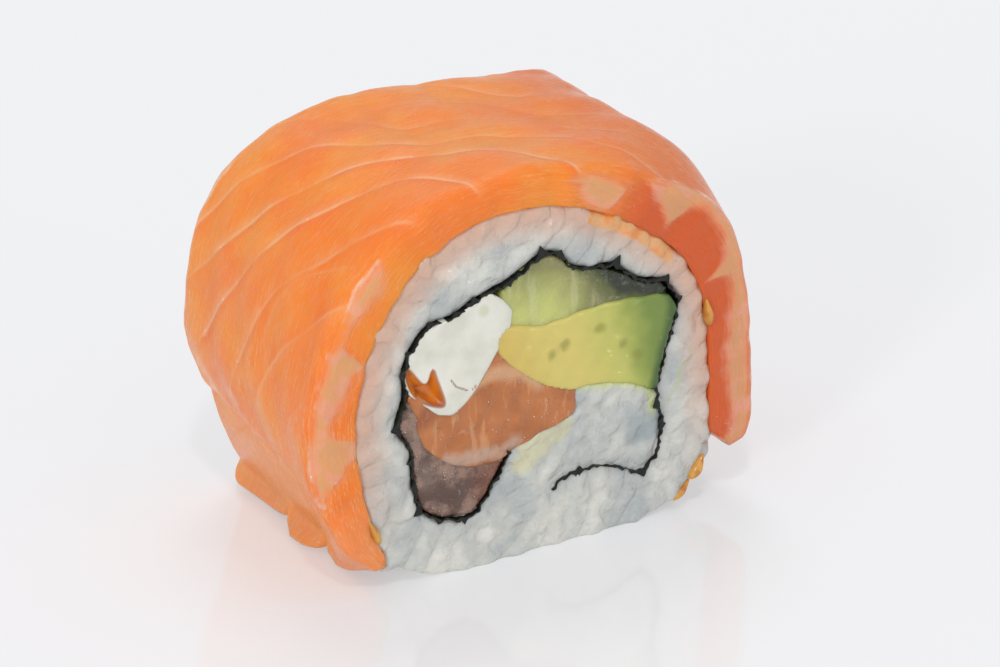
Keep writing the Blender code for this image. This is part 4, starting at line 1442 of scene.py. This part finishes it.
# %% How thick the salmon is, and where it ends
BLANKET_FOOT_HEIGHT = 1.2
BLANKET_FLOOR_GAP = 0.05
BLANKET_HEM = [(21.6, 12.0), (21.7, 8.2)]
BLANKET_THICKNESS = [
    (-40, 5.3), (0, 5.2), (20, 5.0), (45, 5.1), (62, 5.2), (85, 3.8), (105, 3.7), (125, 4.7),
    (150, 4.8), (180, 4.8), (195, 4.6), (212, 3.7), (226, 3.0),
]
BLANKET_TUCK = 2.0
BLANKET_TUCK_FROM = 178.0
BLANKET_TUCK_OVER = 28.0
RIM_RADIUS = 1.3
BLANKET_WAVES = [(0.16, (0.55, 0.33, 0.0)), (0.12, (0.0, 0.9, -0.4))]
LOBES = ((-2.0, 10.2), (10.2, 18.0), (18.0, 32.0))
LOBE_NOTCH = 1.5
FOOT_TAPER = (0.12, 1.0)
HEM_TAPER = (0.2, 1.2)
FOOT_REACH = 1.8
FOOT_LINE = [
    (0.0, -17.8), (4.0, -18.4), (7.0, -19.4), (9.3, -19.2), (10.3, -17.9), (11.4, -19.4), (13.0, -20.1),
    (15.5, -20.2), (17.4, -19.3), (18.4, -17.9), (19.6, -18.5), (25.0, -18.9), (30.4, -19.2),
]
FOOT_LIFT = 3.1
FOOT_LIFT_REACH = 9.0
FOOT_DROP = (0.6, 1.5)
UNDERSIDE_CLOSER = 0.3
HEM_SLANT = (2.8, 2.5)
HEM_WAVES = [(0.5, 0.42, 0.0), (0.15, 1.1, 1.0)]
FULLER = [(10, -0.9), (28, -1.1), (38, -0.4), (46, 0.1), (54, -0.1), (64, -0.8), (74, -0.7), (90, -0.3),
          (104, -0.4), (114, 0.0), (126, 0.5), (140, 1.3), (156, 0.9), (170, 0.2), (184, 0.0),
          (194, -0.5), (204, -1.7), (214, -1.8)]
FULLER_FROM = (2, 14)
FRONT_BULGE = (29.0, 12.0, 1.2, 12.0)
UNDERSIDE_STEP = 0.5
STATION_STEP = 0.27
SKIN_STEP = 0.24


def blanket_inner_line():
    """The salmon's underside, from its foot on the left over the top to its free hem on the right."""
    x, z = rice_edge.T
    sign = math.copysign(1, (x * np.roll(z, -1) - np.roll(x, -1) * z).sum())
    beside = offset_line(rice_edge, -sign * CLEARANCE, True)
    left = (beside[:, 0] < 0) & (beside[:, 1] > BLANKET_FOOT_HEIGHT)
    right = (beside[:, 0] >= 0) & (beside[:, 1] > BLANKET_HEM[0][1] + 1.0)
    over = beside[left | right]
    angle = np.arctan2(over[:, 1] - CENTRE[1], over[:, 0] - CENTRE[0])
    from_foot = np.argsort((math.radians(270) - angle) % (2 * math.pi))
    return smooth_line([*over[from_foot], *BLANKET_HEM], UNDERSIDE_STEP, closed=False)


def foot_notch(along):
    """How far the foot is drawn back: where two lobes meet, and at the sheet's front corner."""
    drawn = np.zeros_like(along)
    for start, end in LOBES:
        here = (along > start) & (along <= end)
        drawn[here] = LOBE_NOTCH * (2 * (along[here] - start) / (end - start) - 1) ** 6
    return drawn + FOOT_LIFT * smoothstep(FOOT_LIFT_REACH, 0, along)


def fading(size_and_reach, away):
    """A size that fades with the distance from an edge."""
    return size_and_reach[0] * np.exp(-away / size_and_reach[1])


def section_loop():
    """One loop round the sheet. Each point has how many rim radii and how much of the length
    between the rims it is along the roll, its share of the thickness less the rim's radius, and
    how many rim radii lie above that."""
    turn = np.linspace(0, math.pi / 2, 10)[1:-1]
    face = np.linspace(0, 1, 14)
    skin = np.linspace(0, 1, round(LENGTH / SKIN_STEP))
    rows = [(2 * u, u, 0.0, 0.0) for u in np.linspace(1, 0, 22)[1:-1]]
    rows += [(0.0, 0.0, f, 0.0) for f in face]
    rows += [(1 - math.cos(t), 0.0, 1.0, math.sin(t)) for t in turn]
    rows += [(1.0, u, 1.0, 1.0) for u in skin]
    rows += [(1 + math.cos(t), 1.0, 1.0, math.sin(t)) for t in turn[::-1]]
    rows += [(2.0, 1.0, f, 0.0) for f in face[::-1]]
    return np.array(rows).T


def over_rim(inward, radial, thick):
    """How far over a rim each point lies, in mm: 0 where the cut face of the fish begins to
    round off, less on that face, and more on the skin."""
    across, up = RIM_RADIUS - inward, radial - (thick - RIM_RADIUS)
    turned = RIM_RADIUS * np.arctan2(np.maximum(up, 0), np.maximum(across, 1e-6))
    on_skin = RIM_RADIUS * math.pi / 2 + inward - RIM_RADIUS
    return np.where(inward >= RIM_RADIUS, on_skin, np.where(up > 0, turned, up))


print("the loop round the sheet has", section_loop().shape[1], "points")

# %% [markdown]
# Thin seams of fat run over the fish in long curves, and the flakes between them swell a little.
# The seams that the photo shows are given by a few points each: degrees round the roll, and
# millimetres from the front cut. On the far side they go on as a family of like curves.

# %% The seams of fat
SEAMS = [
    (1.0, [(166, 28.5), (153, 23.0), (144, 19.7), (135, 16.6), (124, 13.7), (117, 11.8), (109, 9.9),
           (93, 6.3), (82, 2.6), (76, -1.0)]),
    (0.9, [(176, 24.0), (165, 20.5), (156, 17.6), (143, 13.6), (135, 10.6), (126, 8.7), (118, 6.9),
           (111, 3.3), (107, -1.0)]),
    (0.7, [(192, 20.0), (180, 17.0), (168, 14.0), (156, 11.5), (143, 6.4), (134, 3.4), (126, 0.7),
           (122, -1.5)]),
    (0.8, [(160, 31.0), (150, 28.0), (140, 25.2), (132, 22.7), (125, 20.7), (117, 16.6), (106, 12.3),
           (90, 11.9), (73, 8.5), (66, 5.2), (56, 3.0), (44, -1.0)]),
    (0.35, [(142, 3.5), (150, 8.5), (164, 11.3), (176, 10.5), (188, 14.2), (200, 17.5)]),
    (0.6, [(143, -1.0), (149, 0.9), (163, 6.5), (173, 9.9), (184, 12.0), (196, 13.0), (208, 15.0)]),
    (0.4, [(160, -2.0), (169, 0.3), (180, 4.5), (189, 6.1), (196, 6.1), (207, 2.3), (212, 0.0)]),
    (0.45, [(128, 30.0), (116, 25.0), (106, 18.6), (93, 17.3), (79, 15.9), (67, 11.4), (51, 8.1),
           (34, 3.0), (24, -1.0)]),
]
SIDE_SEAM = [(104, 24.0), (93, 23.0), (79, 21.5), (67, 17.0), (51, 13.5), (30, 8.5), (10, 3.5), (-4, -1.0)]
SIDE_SEAM_SHIFT = 5.6
SIDE_STRENGTHS = (0.4, 0.6, 0.7, 0.8, 0.7)
MM_PER_DEGREE = 0.42
SEAM_STEP = 0.8
FAR = 9.0
print(len(SEAMS), "seams as the photo shows them and", len(SIDE_STRENGTHS), "on the far side")


def seam_field(angle, along):
    """For each point of the skin: signed distance to the nearest seam in mm, and its strength."""
    family = [(weight, [(a, y + SIDE_SEAM_SHIFT * k) for a, y in SIDE_SEAM])
              for k, weight in enumerate(SIDE_STRENGTHS)]
    spots = np.stack([angle * MM_PER_DEGREE, along], 1)
    best, strength = np.full(len(spots), FAR), np.zeros(len(spots))
    for weight, seam in SEAMS + family:
        line = smooth_line([(a * MM_PER_DEGREE, y) for a, y in seam], SEAM_STEP, closed=False)
        away, _, side = nearest_on(spots, line, False)
        nearer = away < np.abs(best)
        best[nearer] = (away * side)[nearer]
        strength[nearer] = weight
    return best, strength


# %% The sheet of salmon
SEAM_GROOVE = 0.07
GROOVE_WIDTH = 0.3
FLAKE_SWELL = 0.14
FLAKE_REACH = 1.6
SKIN_BACK_OFF = 0.05
LEAST_FACE = 0.15
RIM_FADE = (1.0, 4.0)
END_FADE = (0.0, 2.0)
RIM_TURNS = [(-40, 0.9), (48, 0.9), (66, 1.8), (80, 2.1), (205, 2.1), (222, 1.3)]
RIM_WAVER = 0.2
RIM_WAVER_REACH = 3.5
END_ROUND = 0.5
END_BLUNT = 0.62


def rounded_end(away):
    """The share of its thickness that the sheet keeps near its foot and its hem."""
    t = np.clip(away / END_ROUND, 0, 1)
    return END_BLUNT + (1 - END_BLUNT) * np.sqrt(1 - (1 - t) ** 2)


def thickness(x, y, z, along):
    """How thick the fish is: as packed, but tucked in low on the left and swollen in places."""
    angle = around(x, z)
    thick = np.interp(angle, *zip(*BLANKET_THICKNESS)) + SHOULDER_BLANKET_RISE * shoulder(x, z, y)
    for height, (kx, ky, kz) in BLANKET_WAVES:
        thick += height * np.sin(kx * x + ky * y + kz * z)
    low_left = np.clip((angle - BLANKET_TUCK_FROM) / BLANKET_TUCK_OVER, 0, 1)
    thick -= BLANKET_TUCK * low_left * along / LENGTH
    thick += np.interp(angle, *zip(*FULLER)) * smoothstep(*FULLER_FROM, along)
    middle, spread, height, reach = FRONT_BULGE
    return thick + height * np.exp(-((angle - middle) / spread) ** 2) * smoothstep(reach, 0, along)


def skin_relief(seam, strength, from_rim, from_end):
    """Flakes that swell between the seams and a groove along each, fading near the sheet's edges."""
    relief = FLAKE_SWELL * (1 - np.exp(-np.abs(seam) / FLAKE_REACH)) * strength
    relief -= SEAM_GROOVE * strength * np.exp(-(seam / GROOVE_WIDTH) ** 2)
    return (relief - SKIN_BACK_OFF) * smoothstep(*RIM_FADE, from_rim) * smoothstep(*END_FADE, from_end)


def blanket_points():
    """The sheet's points, as stations round the roll by points round the loop, and for each
    point what its material needs to know."""
    line = blanket_inner_line()
    run = run_along(line)
    normal = line_normals(line, False)
    rims, between, share, above = section_loop()
    stations = np.linspace(0, 1, round(run[-1] / STATION_STEP))[:, None]
    under = [np.interp(stations[:, 0] * run[-1], run, line[:, k]) for k in (0, 1)]
    rim = np.interp(around(*under), *zip(*RIM_TURNS))[:, None]
    along = rims * rim + between * (LENGTH - 2 * rim)
    first = foot_notch(along)
    last = run[-1] - sum(size * (1 - np.sin(speed * along + start)) for size, speed, start in HEM_WAVES)
    at = first + stations * (last - first)
    x, z = (np.interp(at, run, line[:, k]) for k in (0, 1))
    nx, nz = (np.interp(at, run, normal[:, k]) for k in (0, 1))
    y = FRONT + along
    lift = SHOULDER_RICE_RISE * shoulder(x, z, y)
    x, z = x + nx * lift, z + nz * lift
    angle = around(x, z)
    thick = thickness(x, y, z, along)
    from_foot, from_hem = at - first, last - at
    taper = 1 - fading(FOOT_TAPER, from_foot) - fading(HEM_TAPER, from_hem)
    taper *= rounded_end(from_foot) * rounded_end(from_hem)
    seam, strength = (f.reshape(at.shape) for f in seam_field(angle.ravel(), along.ravel()))
    from_rim = np.minimum(along, LENGTH - along)
    relief = skin_relief(seam, strength, from_rim, np.minimum(from_foot, from_hem))
    radial = share * np.maximum(thick - rim, LEAST_FACE) + above * rim
    over = over_rim(along, radial, thick), over_rim(LENGTH - along, radial, thick)
    outer = np.clip(radial / np.maximum(thick, 0.1), 0, 1)
    radial = (radial + relief * (above > 0)) * taper - UNDERSIDE_CLOSER * (1 - share)
    foot_x = (x + nx * thick * taper)[0]
    flare = np.exp(-(from_foot / FOOT_REACH) ** 2) * (foot_x - np.interp(along[0], *zip(*FOOT_LINE)))
    droop = fading(HEM_SLANT, from_hem) + fading(FOOT_DROP, from_foot)
    px = x + nx * radial - flare * outer
    pz = np.maximum(z + nz * radial - droop * outer, BLANKET_FLOOR_GAP)
    for sign, seed in ((-1, 61), (1, 62)):
        edge = smoothstep(RIM_WAVER_REACH, 0.0, LENGTH / 2 - sign * y)
        y = y + sign * edge * waver(at, seed, RIM_WAVER, (3.1, 5.3, 8.7))
    round_loop = np.cumsum(np.hypot(np.gradient(along, axis=1), np.gradient(radial, axis=1)), 1)
    shape = {"angle": angle, "over": over[0], "over_back": over[1], "seam": seam,
             "strength": strength, "run": at, "round_loop": round_loop}
    return np.stack([px, y, pz], 2), shape


salmon_points, salmon_shape = blanket_points()
print("salmon", salmon_points.shape[:2], "stations by points")

# %% [markdown]
# Along its cut rim the fish shows the pale fat that lies under its skin: a long patch down the
# front rim on the left, another down the right, and a small one on top. Painting them by hand
# would need an image, so each is given as a band: degrees round the roll, and how far over the
# rim it starts and ends. The back rim gets the same bands, turned about.

# %% Bands of pale fat
UV_SPAN = 100
BAND_STEP = 0.3
FAT_REACH = 3
LEFT_BAND = [
    (137, 0.0, 0.3), (141, -1.4, 0.8), (146, -1.4, 0.9), (150, -0.7, 0.6), (154, -0.6, 0.0),
    (158, -0.6, 0.1), (162, -3.6, 0.5), (165, -2.8, 0.6), (170, -2.4, 0.8), (175, -1.6, 0.9),
    (179, -1.1, 1.2), (182, -1.8, 1.4), (184, -3.6, 1.6), (188, -3.6, 1.6), (192, -1.9, 1.7),
    (196, -0.4, 1.6), (199, 1.0, 1.5),
]
RIGHT_BAND = [
    (-38, -1.4, 0.9), (-27, -1.4, 0.9), (-13, -2.1, 0.8), (1, -1.9, 0.9), (15, -1.0, 1.2),
    (18, -3.6, 1.4), (21, -1.0, 1.5), (30, -0.3, 1.6), (35, 0.3, 1.8), (38, -0.5, 2.2),
    (41, -2.7, 2.4), (45, -1.9, 2.0), (51, -0.5, 1.0), (55, 0.4, 0.7),
]
TOP_PATCH = [(61, -0.9, -0.5), (65, -3.4, -0.2), (71, -2.9, 0.4), (77, -1.4, 0.4), (81, -0.6, -0.3)]
BANDS = (LEFT_BAND, RIGHT_BAND, TOP_PATCH)
print("bands of fat, in degrees:", [(band[0][0], band[-1][0]) for band in BANDS])


def band_depth(angle, over, band):
    """Millimetres inside a band of fat: negative outside it."""
    edges = ([(row[0] * MM_PER_DEGREE, row[k]) for row in band] for k in (1, 2))
    low, high = (smooth_line(edge, BAND_STEP, closed=False) for edge in edges)
    at = angle * MM_PER_DEGREE
    ends = np.minimum(at - low[0, 0], low[-1, 0] - at)
    across = np.minimum(over - np.interp(at, *low.T), np.interp(at, *high.T) - over)
    return np.minimum(across, ends)


def fat_field(shape):
    """Millimetres inside the nearest band, for both rims."""
    angle = shape["angle"].ravel()
    front = [band_depth(angle, shape["over"].ravel(), band) for band in BANDS]
    behind = [band_depth(180 - angle, shape["over_back"].ravel(), band) for band in BANDS]
    return np.clip(np.max(front + behind, axis=0), -FAT_REACH, FAT_REACH)


def make_blanket():
    """The closed sheet, with its numbers for the material and its own UV map."""
    stations, size = salmon_points.shape[:2]
    faces = walls(stations, size, 0)
    faces += [tuple(range(size)), tuple(range((stations - 1) * size, stations * size))]
    sheet = new_piece("salmon", salmon_points.reshape(-1, 3), faces)
    outward_faces(sheet)
    paint(sheet, **{name: salmon_shape[name] for name in ("angle", "seam", "strength", "over_back")})
    paint(sheet, over=np.minimum(salmon_shape["over"], salmon_shape["over_back"]))
    paint(sheet, fat=fat_field(salmon_shape))
    uv = sheet.data.uv_layers.new(name="surface")
    corners = np.empty(len(sheet.data.loops), int)
    sheet.data.loops.foreach_get("vertex_index", corners)
    flat = np.stack([salmon_shape["run"].ravel(), salmon_shape["round_loop"].ravel()], 1) / UV_SPAN
    uv.data.foreach_set("uv", flat[corners].astype(np.float32).ravel())
    return sheet


# %% [markdown]
# Its material is built up in layers, as the real flesh is: an orange ground, with painted shade
# that makes it browner on the right and a deeper orange at the right-hand rim that is partly the
# fish's own colour and partly painted shade, fine fibres, the seams with a darker line beside
# each, and the pale fat with a painted highlight along its edge. Small wet drops carry painted
# glints. A flat orange would look like plastic. The fibres follow the sheet's own UV map, whose
# units are tenths of a metre, because they have to bend with the sheet.

# %% The salmon's material
def salmon_finish():
    """Ground with painted shade on the right, fibres, seams, fat with a painted highlight along its edge,
    and a few drops with painted glints along the seams and the fat.
    """
    finish = Finish("salmon")
    names = ("seam", "strength", "fat", "angle", "over", "over_back")
    seam, strength, fat, angle, over, over_back = (finish.painted(name) for name in names)
    cloud = finish.noise(finish.place(110), detail=3)
    blotch = finish.noise(finish.place(480), detail=4)
    fibre = finish.noise(finish.surface((40, 380)), detail=4, roughness=0.6, distortion=0.6)
    fine = finish.noise(finish.surface((150, 900)), detail=3, distortion=0.5)
    colour = finish.mix((249, 126, 14), (251, 146, 32), cloud.rise(0.35, 0.65))
    # Painted shade: browner on the right side of the roll.
    colour = finish.mix(colour, (222, 112, 44), angle.rise(85, 35) * 0.9)
    pale_fibre = (fibre * 0.5 + fine * 0.5).rise(0.5, 0.62) * (angle.rise(150, 195) * 0.3 + 0.3)
    colour = finish.mix(colour, (253, 190, 132), pale_fibre)
    colour = finish.mix(colour, (240, 104, 16), fibre.rise(0.46, 0.3) * 0.25)
    colour = finish.mix(colour, (244, 166, 116), angle.rise(196, 214) * 0.35)
    # Deeper orange on the right-hand rim's cut face, partly the fish's own colour and partly painted
    # shade.
    deep = over.rise(1.2, -0.4) * angle.rise(66, 50)
    colour = finish.mix(colour, (214, 86, 8), deep * 0.92)
    on_skin = over.rise(-0.5, 1.5)
    patchy = finish.noise(finish.place(170), detail=2).rise(0.3, 0.62) * 0.8 + 0.2
    strong = strength * on_skin * patchy
    dark_side = (seam - 0.1).rise(0.0, 0.3) * (seam - 0.1).rise(1.5, 0.3)
    colour = finish.mix(colour, (238, 100, 18), dark_side * strong * 0.4)
    line = (abs(seam) - blotch * 0.3 * strength).rise(0.2, -0.12)
    halo = abs(seam + 0.3).rise(1.0, 0.0) * 0.2
    colour = finish.mix(colour, (251, 192, 146), (line * 0.6 + halo) * strong)
    gold = over_back.rise(3.0, 0.4) * angle.rise(96, 112) * angle.rise(160, 140)
    colour = finish.mix(colour, (250, 190, 104), gold * 0.6)
    wander = (blotch - 0.5) * 1.5 + (fibre - 0.5) * 0.8
    fat = fat + wander
    pale = finish.mix((238, 160, 116), (222, 172, 120), fat.rise(0.2, 1.0))
    pale = finish.mix(pale, (238, 172, 150), blotch.rise(0.5, 0.62) * 0.7)
    colour = finish.mix(colour, pale, fat.rise(-0.7, 0.8) * (fibre * 0.3 + 0.6))
    # Painted highlight along the edge of the fat.
    fat_edge_highlight = abs(fat + 0.1).rise(0.5, 0.0) * blotch.rise(0.42, 0.6) * (over + wander).rise(0.4, 1.2)
    colour = finish.mix(colour, (255, 218, 190), fat_edge_highlight * 0.5)
    near_line = (line * strong).most(fat_edge_highlight)
    where_wet = (blotch.rise(0.56, 0.64) * 0.5).most(near_line * blotch.rise(0.45, 0.55))
    # Small wet drops: a bump, with painted glints in their middles.
    drops = finish.drops(finish.place(1100)) * where_wet
    colour = finish.with_painted_glints(colour, drops * 1.6, 0.7)
    finish.set(Base_Color=colour, Roughness=fine * 0.2 + 0.1, Specular_IOR_Level=0.5)
    finish.soft(0.5, 1.6, (1.0, 0.3, 0.1))
    finish.wet(0.1, 0.08)
    height = fibre * 0.6 + fine * 0.6 + blotch * 0.4 + drops * 0.7 + fat.rise(-0.3, 0.4) * 0.5
    finish.bump(height, 0.2, 0.9)
    return finish.material


placed(make_blanket(), "salmon_blanket", salmon_finish())
